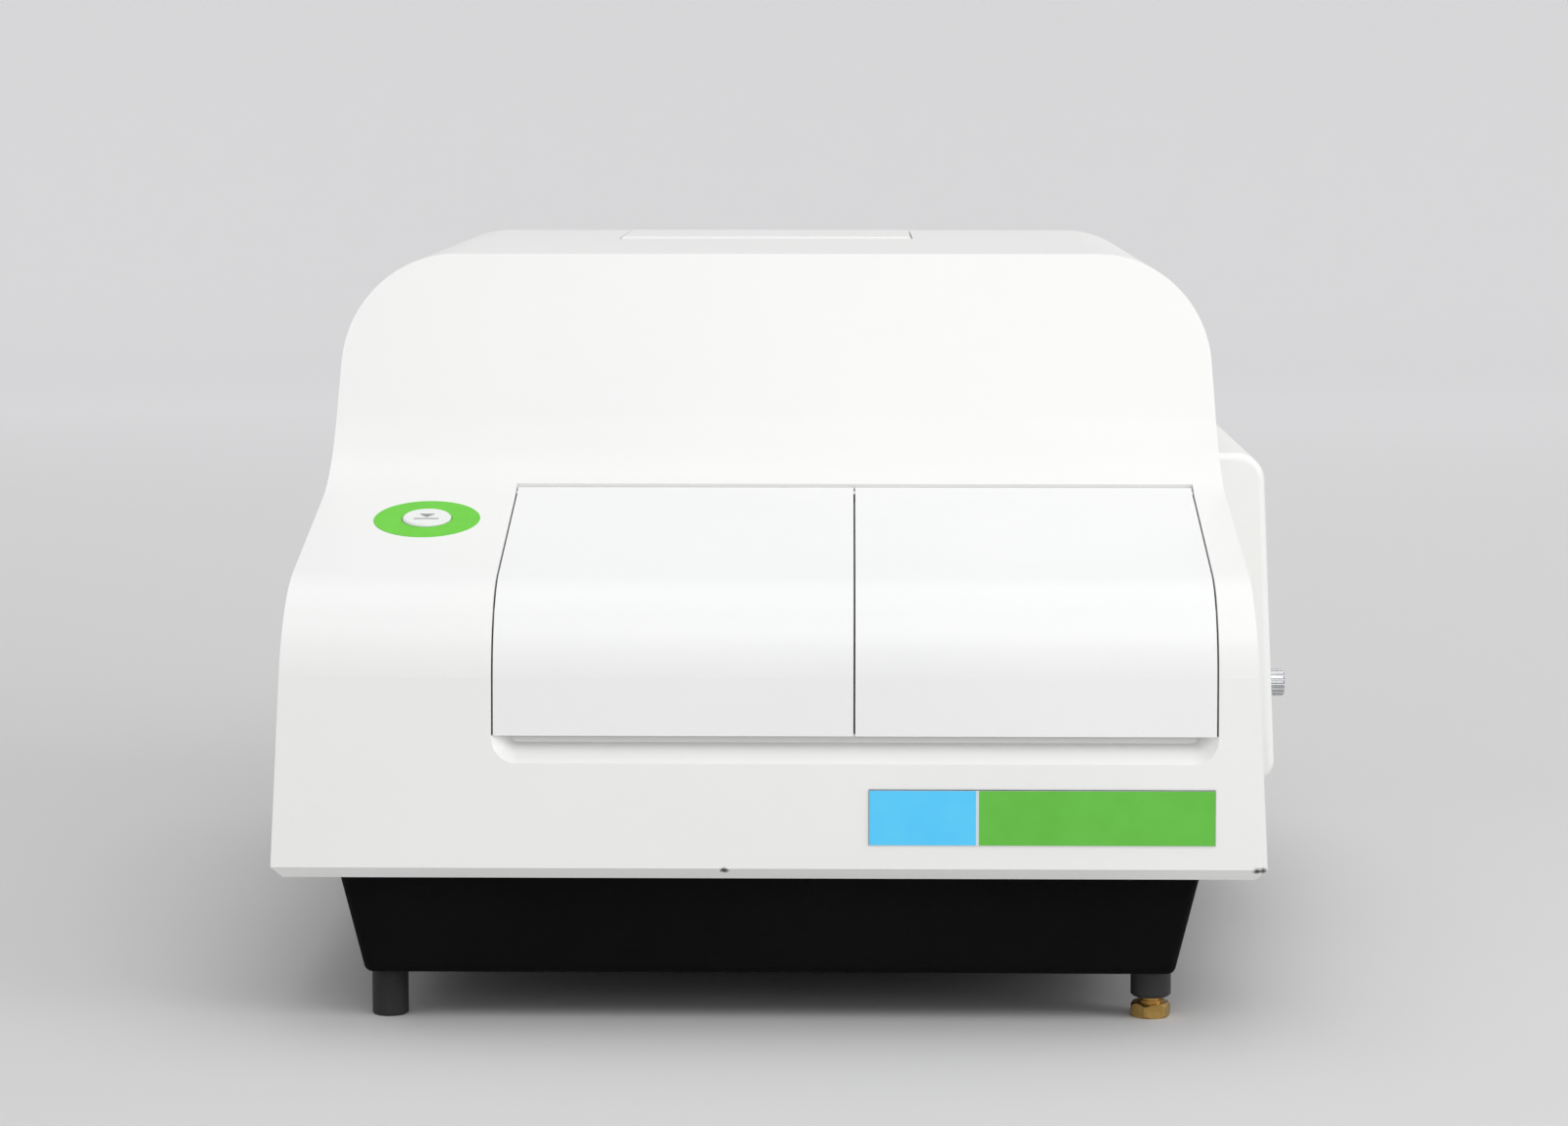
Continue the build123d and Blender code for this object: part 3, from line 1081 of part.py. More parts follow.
def make_drive_belt():
    """Belt loop round both pulleys."""
    low = BELT_Z - BELT_WIDTH / 2
    radius = PULLEY_RADIUS + 0.15
    loops = []
    for reach in (radius + BELT_THICK, radius):
        corners = [(BELT_X - reach, PULLEY_FRONT_Y - reach), (BELT_X + reach, PULLEY_FRONT_Y - reach)]
        corners += [(BELT_X + reach, PULLEY_REAR_Y + reach), (BELT_X - reach, PULLEY_REAR_Y + reach)]
        loops.append(extrude_z(corners, reach - 0.01, low, low + BELT_WIDTH))
    return loops[0] - loops[1]


# ---------------------------------------------------------------- optics
def make_head_bridge():
    """Bent sheet over the carriage: a table on two side walls with flanges on the chassis plate."""
    floor = PLATE_Z + PLATE_THICK
    half = BRIDGE_HALF
    y0, y1 = BRIDGE_FRONT_Y, BRIDGE_REAR_Y
    wall = 4.0
    bridge = block(-half, half, y0, y1, BRIDGE_Z, BRIDGE_Z + BRIDGE_THICK)
    for side in (-1, 1):
        x0, x1 = sorted((side * half, side * (half - wall)))
        bridge += block(x0, x1, y0, y1, floor, BRIDGE_Z + 1)
        sill, lintel = floor + 22, BRIDGE_Z - 12
        window = [(y0 + 30, sill), (y1 - 30, sill), (y1 - 30, lintel), (y0 + 30, lintel)]
        bridge -= extrude_x(window, 8, x0 - 1, x1 + 1)
    bridge -= rod_z(BRIDGE_Z - 1, BRIDGE_Z + BRIDGE_THICK + 1, OPTIC_X, OPTIC_Y, 15)
    cooler = COOLER_SIZE / 2
    tab = block(half - wall, half, COOLER_Y - cooler, COOLER_Y + cooler, BRIDGE_Z, COOLER_Z + cooler)
    return bridge + tab


def make_measuring_head():
    """Cast head over the plate: objective bore, beam bore, slot for the filter slide."""
    low = BRIDGE_Z + BRIDGE_THICK
    corners = [(OPTIC_X - HEAD_HALF_X, HEAD_FRONT_Y), (OPTIC_X + HEAD_HALF_X, HEAD_FRONT_Y)]
    corners += [(OPTIC_X + HEAD_HALF_X, HEAD_REAR_Y), (OPTIC_X - HEAD_HALF_X, HEAD_REAR_Y)]
    head = extrude_z(corners, 6, low, HEAD_TOP_Z)
    head -= rod_z(low - 1, HEAD_TOP_Z + 1, OPTIC_X, OPTIC_Y, 11)
    head -= rod_y(OPTIC_Y, HEAD_REAR_Y + 1, OPTIC_X, BEAM_Z, 9)
    half = SLIDE_WIDTH / 2 + SLIDE_CLEARANCE
    thick = SLIDE_THICK / 2 + SLIDE_CLEARANCE
    head -= block(OPTIC_X - half, OPTIC_X + half, HEAD_FRONT_Y - 1, HEAD_REAR_Y + 1,
                  SLIDE_Z - thick, SLIDE_Z + thick)
    for y in (HEAD_FRONT_Y + 12, HEAD_REAR_Y - 12):
        for side in (-1, 1):
            head -= rod_z(HEAD_TOP_Z - 8, HEAD_TOP_Z + 1, OPTIC_X + side * (HEAD_HALF_X - 8), y, 2.1)
    snout = rod_z(BRIDGE_Z - 12, low, OPTIC_X, OPTIC_Y, 14.5)
    snout -= rod_z(BRIDGE_Z - 13, low + 1, OPTIC_X, OPTIC_Y, 11)
    return head + snout


def make_objective_lens():
    """Objective lens with a bevelled upper edge in the head's snout."""
    lens = Pos(OPTIC_X, OPTIC_Y, BRIDGE_Z - 10) * extrude(Circle(10.9), 6)
    return chamfer(lens.edges().sort_by(Axis.Z)[-1], 2)


def make_detector_housing():
    """Light-tight can of the detector, open below over the slide."""
    can = rod_z(HEAD_TOP_Z, DETECTOR_TOP_Z, OPTIC_X, OPTIC_Y, DETECTOR_RADIUS)
    can = chamfer(can.edges().sort_by(Axis.Z)[-1], 2)
    can += rod_z(HEAD_TOP_Z, HEAD_TOP_Z + 5, OPTIC_X, OPTIC_Y, DETECTOR_RADIUS + 8)
    for turn in range(4):
        angle = math.radians(45 + 90 * turn)
        reach = DETECTOR_RADIUS + 4.2
        can -= rod_z(HEAD_TOP_Z - 1, HEAD_TOP_Z + 6, OPTIC_X + reach * math.cos(angle),
                     OPTIC_Y + reach * math.sin(angle), 1.6)
    return can - rod_z(HEAD_TOP_Z - 1, DETECTOR_TOP_Z - 4, OPTIC_X, OPTIC_Y, 16)


def make_detector_tube():
    """Glass tube of the detector, standing on the head round its bore."""
    tube = rod_z(HEAD_TOP_Z, DETECTOR_TOP_Z - 20, OPTIC_X, OPTIC_Y, 15)
    return chamfer(tube.edges().sort_by(Axis.Z)[-1], 3)


def slide_places():
    """Middles of the filters in the slide at rest, the front one on the optical axis."""
    return [OPTIC_Y + SLIDE_PITCH * index for index in range(FILTER_COUNT)]


def make_emission_slide():
    """Filter slide: bar with stepped filter seats, rod and knob towards the filter bay."""
    places = slide_places()
    front, rear = places[0] - 12, places[-1] + 12
    low, high = SLIDE_Z - SLIDE_THICK / 2, SLIDE_Z + SLIDE_THICK / 2
    half = SLIDE_WIDTH / 2
    left, right = OPTIC_X - half, OPTIC_X + half
    corners = [(left, front), (right, front), (right, rear), (left, rear)]
    bar = extrude_z(corners, 2.5, low, high)
    for y in places:
        bar -= rod_z(low + 1.5, high + 1, OPTIC_X, y, FILTER_RADIUS + 0.1)
        bar -= rod_z(low - 1, low + 2, OPTIC_X, y, FILTER_RADIUS - 1.2)
    knob_y = LINER_REAR_Y - 7
    bar += rod_y(knob_y, front + 0.5, OPTIC_X, SLIDE_Z, 2.8)
    knob = rod_y(knob_y - 12, knob_y + 1, OPTIC_X, SLIDE_Z, 8.5)
    return bar + chamfer(knob.edges().filter_by(GeomType.CIRCLE), 1.2)


def make_emission_filters():
    """Round filters lying in the slide's seats."""
    seat = SLIDE_Z - SLIDE_THICK / 2 + 1.5
    return [rod_z(seat, seat + 3.5, OPTIC_X, y, FILTER_RADIUS) for y in slide_places()]


def wheel_centre_z():
    """Height of the excitation wheel's axis: its lowest filter is on the beam."""
    return BEAM_Z + WHEEL_PITCH_RADIUS


def make_excitation_wheel():
    """Filter wheel with seats round its edge, lightening holes and a bored hub."""
    z = wheel_centre_z()
    y0, y1 = WHEEL_Y, WHEEL_Y + WHEEL_THICK
    wheel = rod_y(y0, y1, OPTIC_X, z, WHEEL_RADIUS)
    for index in range(FILTER_COUNT):
        turn = math.radians(360 * index / FILTER_COUNT - 90)
        x = OPTIC_X + WHEEL_PITCH_RADIUS * math.cos(turn)
        height = z + WHEEL_PITCH_RADIUS * math.sin(turn)
        wheel -= rod_y(y0 - 1, y1 - 1.2, x, height, FILTER_RADIUS + 0.1)
        wheel -= rod_y(y1 - 2, y1 + 1, x, height, FILTER_RADIUS - 1.2)
    for index in range(4):
        turn = math.radians(90 * index + 45)
        wheel -= rod_y(y0 - 1, y1 + 1, OPTIC_X + 22 * math.cos(turn), z + 22 * math.sin(turn), 8)
    wheel += rod_y(y0 - 3, y1 + 2, OPTIC_X, z, 7)
    return wheel - rod_y(y0 - 4, y1 + 3, OPTIC_X, z, 2.5 + SLIDING_CLEARANCE)


def make_excitation_filters():
    """Round filters in the wheel's seats."""
    z = wheel_centre_z()
    filters = []
    for index in range(FILTER_COUNT):
        turn = math.radians(360 * index / FILTER_COUNT - 90)
        x = OPTIC_X + WHEEL_PITCH_RADIUS * math.cos(turn)
        height = z + WHEEL_PITCH_RADIUS * math.sin(turn)
        filters.append(rod_y(WHEEL_Y + 0.2, WHEEL_Y + WHEEL_THICK - 1.2, x, height, FILTER_RADIUS))
    return filters


def make_wheel_bracket():
    """Upright bracket over the slide that carries the wheel motor, with windows for beam and slide."""
    low = BRIDGE_Z + BRIDGE_THICK
    y1 = WHEEL_Y - 4
    top = wheel_centre_z() + 24
    profile = [(OPTIC_X - 34, low), (OPTIC_X + 34, low), (OPTIC_X + 24, top), (OPTIC_X - 24, top)]
    bracket = extrude_y(profile, [0, 0, 6, 6], y1 - 3, y1)
    bracket += block(OPTIC_X - 34, OPTIC_X + 34, y1 - 16, y1, low, low + 3)
    half = SLIDE_WIDTH / 2 + 2
    bracket -= block(OPTIC_X - half, OPTIC_X + half, y1 - 17, y1 + 1, low + 3, SLIDE_Z + 5)
    return bracket - rod_y(y1 - 4, y1 + 1, OPTIC_X, wheel_centre_z(), 5)


def make_wheel_motor():
    """Round motor in front of its bracket with the shaft that carries the wheel."""
    z = wheel_centre_z()
    y1 = WHEEL_Y - 7
    motor = rod_y(y1 - 26, y1, OPTIC_X, z, 17)
    motor = chamfer(motor.edges().sort_by(Axis.Y)[0], 1.5)
    return motor + rod_y(y1, y1 + 3, OPTIC_X, z, 4.5) + rod_y(y1, WHEEL_Y + WHEEL_THICK + 4, OPTIC_X, z, 2.5)


def make_beam_tube():
    """Tube that carries the beam from the wheel to the head."""
    y0, y1 = HEAD_REAR_Y, WHEEL_Y - 8
    tube = rod_y(y0, y1, OPTIC_X, BEAM_Z, 11.5) + rod_y(y0, y0 + 3, OPTIC_X, BEAM_Z, 15)
    return tube - rod_y(y0 - 1, y1 + 1, OPTIC_X, BEAM_Z, 9)


def make_lamp_house():
    """Finned lamp box with a snout towards the wheel and a lift-off mouth at the top."""
    low = BRIDGE_Z + BRIDGE_THICK
    x0, x1 = OPTIC_X - LAMP_HOUSE_HALF_X, OPTIC_X + LAMP_HOUSE_HALF_X
    y0, y1 = LAMP_HOUSE_FRONT_Y, LAMP_HOUSE_REAR_Y
    house = block(x0, x1, y0, y1, low, LAMP_HOUSE_TOP_Z)
    house -= block(x0 + 10, x1 - 10, y0 + 10, y1 - 10, low + 4, LAMP_HOUSE_TOP_Z + 1)
    for row in range(6):
        z = low + 12 + 10 * row
        house -= block(x0 - 1, x0 + 5, y0 + 6, y1 - 6, z, z + 5)
        house -= block(x1 - 5, x1 + 1, y0 + 6, y1 - 6, z, z + 5)
    house += rod_y(WHEEL_Y + WHEEL_THICK + 3, y0 + 1, OPTIC_X, BEAM_Z, 13)
    return house - rod_y(WHEEL_Y + WHEEL_THICK + 2, y0 + 11, OPTIC_X, BEAM_Z, 9)


def make_lamp():
    """Halogen lamp: base on the house's floor, neck and bulb."""
    low = BRIDGE_Z + BRIDGE_THICK + 4
    y = (LAMP_HOUSE_FRONT_Y + LAMP_HOUSE_REAR_Y) / 2
    base = rod_z(low, low + 8, OPTIC_X, y, 13)
    bulb = rod_z(low + 8, BEAM_Z + 12, OPTIC_X, y, 6.5)
    return base + chamfer(bulb.edges().sort_by(Axis.Z)[-1], 4)


def make_side_detector():
    """Cooled side detector: can inside, plate on the bridge's tab, fins in the side housing."""
    half = COOLER_SIZE / 2
    x0 = BRIDGE_HALF
    detector = block(x0, x0 + 6, COOLER_Y - half, COOLER_Y + half, COOLER_Z - half + 14, COOLER_Z + half)
    pitch = (COOLER_SIZE - 2.0) / (COOLER_FINS - 1)
    for fin in range(COOLER_FINS):
        y = COOLER_Y - half + pitch * fin
        tip = side_face_x(SIDE_TOP_Z) - SIDE_WALL - 4
        detector += block(x0 + 5, tip, y, y + 2, COOLER_Z - half + 14, COOLER_Z + half)
    return detector


# ---------------------------------------------------------------- electronics
def make_mainboard():
    """Circuit board on four posts with chips, sockets and capacitors."""
    low = BRIDGE_Z + BRIDGE_THICK
    x0, x1, y0, y1 = -195.0, -65.0, 250.0, 400.0
    board = block(x0, x1, y0, y1, low + 8, low + 9.6)
    for x in (x0 + 7, x1 - 7):
        for y in (y0 + 7, y1 - 7):
            board += rod_z(low, low + 8, x, y, 3.5)
    top = low + 9.6
    for x, y, width, depth, height in ((-150, 300, 24, 24, 2.5), (-105, 290, 16, 16, 2),
                                       (-170, 350, 12, 30, 3),
                                       (-120, 360, 30, 12, 8), (-85, 330, 10, 36, 9), (-180, 262, 40, 9, 10),
                                       (-118, 262, 36, 9, 10)):
        board += block(x - width / 2, x + width / 2, y - depth / 2, y + depth / 2, top - 0.1, top + height)
    for index in range(3):
        board += rod_z(top - 0.1, top + 14, -150 + 14 * index, 385, 5)
    return board


def make_power_supply():
    """Case of the power supply with cooling slots in its front."""
    low = BRIDGE_Z + BRIDGE_THICK
    x0, x1, y0, y1 = 120.0, 200.0, 425.0, 545.0
    case = block(x0, x1, y0, y1, low, low + 52)
    for column in range(8):
        x = x0 + 10 + 8 * column
        case -= block(x, x + 4, y0 - 1, y0 + 1.5, low + 10, low + 42)
    return case


def make_all():
    """Every piece by its name."""
    left = (DOOR_LEFT_X + DOOR_GAP / 2, DOOR_SEAM_X - DOOR_GAP / 2)
    right = (DOOR_SEAM_X + DOOR_GAP / 2, DOOR_RIGHT_X - DOOR_GAP / 2)
    badge_plate, badge_blue, badge_green = make_badge()
    return {
        "main_cover": make_main_cover(),
        "plate_door": make_door(*left),
        "filter_door": make_door(*right),
        "hinge_rods": make_hinge_rods(),
        "top_lid": make_lid(),
        "side_cover": make_side_cover(),
        "side_thumbscrew": make_side_thumbscrew(),
        "side_hinge_pins": make_side_hinge_pins(),
        "load_ring": make_load_ring(),
        "load_button": make_load_button(),
        "load_switch": make_load_switch(),
        "badge_plate": badge_plate,
        "badge_blue": badge_blue,
        "badge_green": badge_green,
        "base_pan": make_base_pan(),
        "chassis_plate": make_chassis_plate(),
        "cover_screws": make_cover_screws(),
        "fixed_feet": make_fixed_feet(),
        "levelling_post": make_levelling_post(),
        "levelling_foot": make_levelling_foot(),
        "rear_panel": make_rear_panel(),
        "power_inlet": make_power_inlet(),
        "serial_port": make_serial_port(),
        "usb_port": make_usb_port(),
        "switch_frame": make_switch_frame(),
        "power_switch": make_power_switch(),
        "fan_housing": make_fan_housing(),
        "fan_rotor": make_fan_rotor(),
        "fan_guard": make_fan_guard(),
        "loading_bay": make_loading_bay(),
        "filter_bay": make_filter_bay(),
        "y_guide_rods": make_y_rods(),
        "rod_blocks": make_rod_blocks(),
        "y_carriage": make_y_carriage(),
        "x_guide_rods": make_x_rods(),
        "x_motor": make_x_motor(),
        "x_leadscrew": make_x_leadscrew(),
        "plate_carrier": make_plate_carrier(),
        "y_motor": make_y_motor(),
        "drive_pulley": make_pulley(PULLEY_REAR_Y, 2.5 + SLIDING_CLEARANCE),
        "idler_pulley": make_pulley(PULLEY_FRONT_Y, 2.5 + SLIDING_CLEARANCE),
        "idler_post": make_idler_post(),
        "drive_belt": make_drive_belt(),
        "head_bridge": make_head_bridge(),
        "measuring_head": make_measuring_head(),
        "objective_lens": make_objective_lens(),
        "detector_housing": make_detector_housing(),
        "detector_tube": make_detector_tube(),
        "emission_slide": make_emission_slide(),
        "emission_filters": make_emission_filters(),
        "excitation_wheel": make_excitation_wheel(),
        "excitation_filters": make_excitation_filters(),
        "wheel_bracket": make_wheel_bracket(),
        "wheel_motor": make_wheel_motor(),
        "beam_tube": make_beam_tube(),
        "lamp_house": make_lamp_house(),
        "lamp": make_lamp(),
        "side_detector": make_side_detector(),
        "mainboard": make_mainboard(),
        "power_supply": make_power_supply(),
    }


ORIGIN_X = (side_face_x(KNOB_Z) + KNOB_LENGTH - CASE_WIDTH / 2) / 2
ORIGIN_Y = CASE_DEPTH / 2
os.makedirs("parts", exist_ok=True)
for piece_name, piece in make_all().items():
    export_piece(piece_name, piece)
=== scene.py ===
import json
import math

import bmesh
import bpy
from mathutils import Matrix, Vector


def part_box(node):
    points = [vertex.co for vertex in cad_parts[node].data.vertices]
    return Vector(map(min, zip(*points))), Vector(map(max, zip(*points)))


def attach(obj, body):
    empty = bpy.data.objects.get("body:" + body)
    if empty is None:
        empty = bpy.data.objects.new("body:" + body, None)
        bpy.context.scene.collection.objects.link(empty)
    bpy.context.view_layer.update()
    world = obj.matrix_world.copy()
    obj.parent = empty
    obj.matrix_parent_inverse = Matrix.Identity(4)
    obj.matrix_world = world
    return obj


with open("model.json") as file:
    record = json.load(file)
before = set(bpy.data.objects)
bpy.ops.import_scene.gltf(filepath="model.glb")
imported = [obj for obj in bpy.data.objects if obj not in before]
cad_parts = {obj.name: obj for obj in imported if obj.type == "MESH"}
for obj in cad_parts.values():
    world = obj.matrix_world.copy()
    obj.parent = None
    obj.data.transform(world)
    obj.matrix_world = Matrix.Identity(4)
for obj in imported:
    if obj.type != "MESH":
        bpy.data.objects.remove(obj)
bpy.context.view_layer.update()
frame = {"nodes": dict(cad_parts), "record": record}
NODES = frame["nodes"]

# ---------------------------------------------------------------- settings
CASE_HALF = 0.235             # half of the casing's width
COVER_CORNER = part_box("main_cover")[0]


def at(x, y, z):
    """Point given from the middle of the casing's front rim, at bench height."""
    return (COVER_CORNER[0] + CASE_HALF + x, COVER_CORNER[1] + y, z)


CAMERA_PLACE = at(0.03756, -1.8732, 0.4473)
CAMERA_YAW = 0.919            # degrees, turned slightly to the left
CAMERA_PITCH = 6.759          # degrees, looking down
CAMERA_LENS = 92.78           # millimetres on a 36 mm wide sensor

WORLD_TONE = (0.975, 0.98, 1.0)
WORLD_LIGHT = 0.725
LAMPS = [                     # name, place, target, size in metres, power in watts
    ("key", (0.55, -2.2, 2.6), (0, -0.05, 0.2), (2.2, 1.8), 20.8),
    ("top", (0.3, 0.2, 3.0), (0, 0, 0.3), (2.4, 2.4), 11.4),
    ("side", (2.8, -1.3, 1.3), (0.2, 0, 0.2), (1.8, 1.6), 26.0),
    ("front", (0.2, -3.2, 0.9), (0.05, 0, 0.2), (2.6, 1.2), 10.3),
]

FLOOR_TONE = (0.66, 0.655, 0.65)            # stage under the object
FAR_PAINTED_PALE_TONE = (0.94, 0.93, 0.93)               # and far behind it, painted paler to stand in for the lamp light that barely reaches the far backdrop
LAMP_SIDE_TONE = (0.72, 0.72, 0.72)         # and in front of it, where the lamps hang
FAR_FADE = (0.4, 3.4)         # y in metres between which the floor's tone turns into the far one
LAMP_FADE = (-1.0, -3.0)      # y between which it turns into the one in front
STAGE_ROUGHNESS, STAGE_LEVEL = 0.9, 0.1

STAGE_FLAT = 4.2              # radius of the level floor
STAGE_RISE = 2.4              # radius of the bend outside it
STAGE_TALL = 1.6              # height of that bend to its width
STAGE_RINGS, STAGE_STEPS = 28, 96
STAGE_FLAT_SHARE = 0.3        # share of the rings that lie on the level floor

SHADOW_WIDTH_TOP, SHADOW_WIDTH_SIDE = 0.00045, 0.00025      # width of the painted shadow lines round the badge, in metres
SHADOW_LINE_CORNER = 0.00008         # radius at their ends
SHADOW_FILM_THICK, PRINT_THICK = 0.00005, 0.00004
BEVEL_SHARE = 0.3             # share of a mark's thickness that is bevelled
CORNER_STEPS = 5              # edges that stand for one rounded corner

NOISE_ROUGHNESS = 0.55
COAT_ROUGHNESS = 0.12
GLASS_BEND = 1.5              # refraction index
GLASS_COAT = 0.6

SPOT_GRAIN = 900.0            # of a painted chip's ragged outline, per metre
SPOT_WOBBLE = 0.5             # share of its radius by which the outline wanders
SPOT_EDGE = 0.35              # share of its radius over which it fades


# ---------------------------------------------------------------- node helpers
class Graph:
    """A material's nodes, added and linked in one call."""

    def __init__(self, name):
        self.material = bpy.data.materials.new(name)
        self.material.use_nodes = True
        self.tree = self.material.node_tree
        self.shader = next(n for n in self.tree.nodes if n.type == "BSDF_PRINCIPLED")
        self.place = self.add("ShaderNodeTexCoord").outputs["Object"]

    def add(self, kind, settings=None, **sockets):
        node = self.tree.nodes.new(kind)
        for key, value in (settings or {}).items():
            setattr(node, key, value)
        for key, value in sockets.items():
            socket = node.inputs[key.replace("_", " ")]
            if isinstance(value, bpy.types.NodeSocket):
                self.tree.links.new(value, socket)
            else:
                socket.default_value = value
        return node

    def link(self, output, socket):
        self.tree.links.new(output, self.shader.inputs[socket])

    def noise(self, scale, detail=3.0, stretch=(1, 1, 1)):
        where = self.add("ShaderNodeMapping", Vector=self.place, Scale=stretch).outputs["Vector"]
        return self.add("ShaderNodeTexNoise", Vector=where, Scale=scale, Detail=detail,
                        Roughness=NOISE_ROUGHNESS).outputs["Fac"]

    def span(self, value, low, high, start=0.35, end=0.65):
        return self.add("ShaderNodeMapRange", Value=value, From_Min=start, From_Max=end,
                        To_Min=low, To_Max=high).outputs["Result"]

    def blend(self, factor, first, second):
        mix = self.tree.nodes.new("ShaderNodeMix")
        mix.data_type = "RGBA"
        self.tree.links.new(factor, mix.inputs[0])
        for index, value in ((6, first), (7, second)):
            if isinstance(value, bpy.types.NodeSocket):
                self.tree.links.new(value, mix.inputs[index])
            else:
                mix.inputs[index].default_value = (*value, 1)
        return mix.outputs[2]

    def spot(self, centre, radius):
        """1 inside a small ragged spot round a point, 0 outside it."""
        offset = self.add("ShaderNodeVectorMath", {"operation": "DISTANCE"})
        self.tree.links.new(self.place, offset.inputs[0])
        offset.inputs[1].default_value = centre
        ragged = self.add("ShaderNodeMath", {"operation": "MULTIPLY_ADD"})
        self.tree.links.new(self.noise(SPOT_GRAIN, 2.0), ragged.inputs[0])
        ragged.inputs[1].default_value = -radius * SPOT_WOBBLE * 2
        self.tree.links.new(offset.outputs["Value"], ragged.inputs[2])
        inner = radius * (1 - SPOT_WOBBLE) - radius * SPOT_EDGE
        return self.span(ragged.outputs[0], 1.0, 0.0, inner - radius * SPOT_WOBBLE * 0.5,
                         inner + radius * SPOT_EDGE)

    def bump(self, height, distance):
        node = self.add("ShaderNodeBump", Height=height, Distance=distance, Strength=1.0)
        return node.outputs["Normal"]


def finish_of(name, tone, shade, patch, rough, grain, depth, stretch=(1, 1, 1), metal=0.0, level=0.5,
              coat=0.0, spots=(), spot_tone=None):
    """
    Surface whose colour drifts from tone to shade and whose gloss has a fine relief.

    patch and grain are per metre, for the colour and for the relief; depth is the relief's, in metres.
    rough is the roughness from and to, level the specular level, and spots are painted chips.
    """
    graph = Graph(name)
    colour = graph.blend(graph.span(graph.noise(patch, 4.0), 0.0, 1.0), tone, shade)
    fine = graph.noise(grain, 3.0, stretch)
    for centre, radius in spots:
        colour = graph.blend(graph.spot(centre, radius), colour, spot_tone)
    graph.link(colour, "Base Color")
    graph.link(graph.span(fine, rough[0], rough[1]), "Roughness")
    graph.link(graph.bump(fine, depth), "Normal")
    graph.shader.inputs["Metallic"].default_value = metal
    graph.shader.inputs["Specular IOR Level"].default_value = level
    if coat:
        graph.shader.inputs["Coat Weight"].default_value = coat
        graph.shader.inputs["Coat Roughness"].default_value = COAT_ROUGHNESS
    return graph.material


def clear_of(name, tone, rough, alpha):
    """Thin coated glass, as a tinted surface that is partly clear."""
    graph = Graph(name)
    shade = tuple(0.8 * part for part in tone)
    tint = graph.blend(graph.span(graph.noise(30.0, 2.0), 0.0, 1.0), tone, shade)
    graph.link(tint, "Base Color")
    graph.link(graph.span(graph.noise(200.0), rough, rough + 0.05), "Roughness")
    graph.shader.inputs["Alpha"].default_value = alpha
    graph.shader.inputs["IOR"].default_value = GLASS_BEND
    graph.shader.inputs["Coat Weight"].default_value = GLASS_COAT
    return graph.material


# ---------------------------------------------------------------- finishes by material slot
# Place and radius, in metres, of the chips along the rim and of the scuffs beside the load button.
RIM_CHIPS = [(at(-0.0209, 0.0002, 0.0788), 0.0024), (at(-0.0196, 0.0002, 0.0786), 0.0019),
             (at(0.2300, 0.0004, 0.0792), 0.0024), (at(0.2330, 0.0010, 0.0800), 0.0022)]
SHELL_MARKS = [(at(-0.1301, 0.0850, 0.2235), 0.0006), (at(-0.1243, 0.0780, 0.2220), 0.0005),
               (at(-0.1200, 0.0800, 0.2190), 0.0006)]

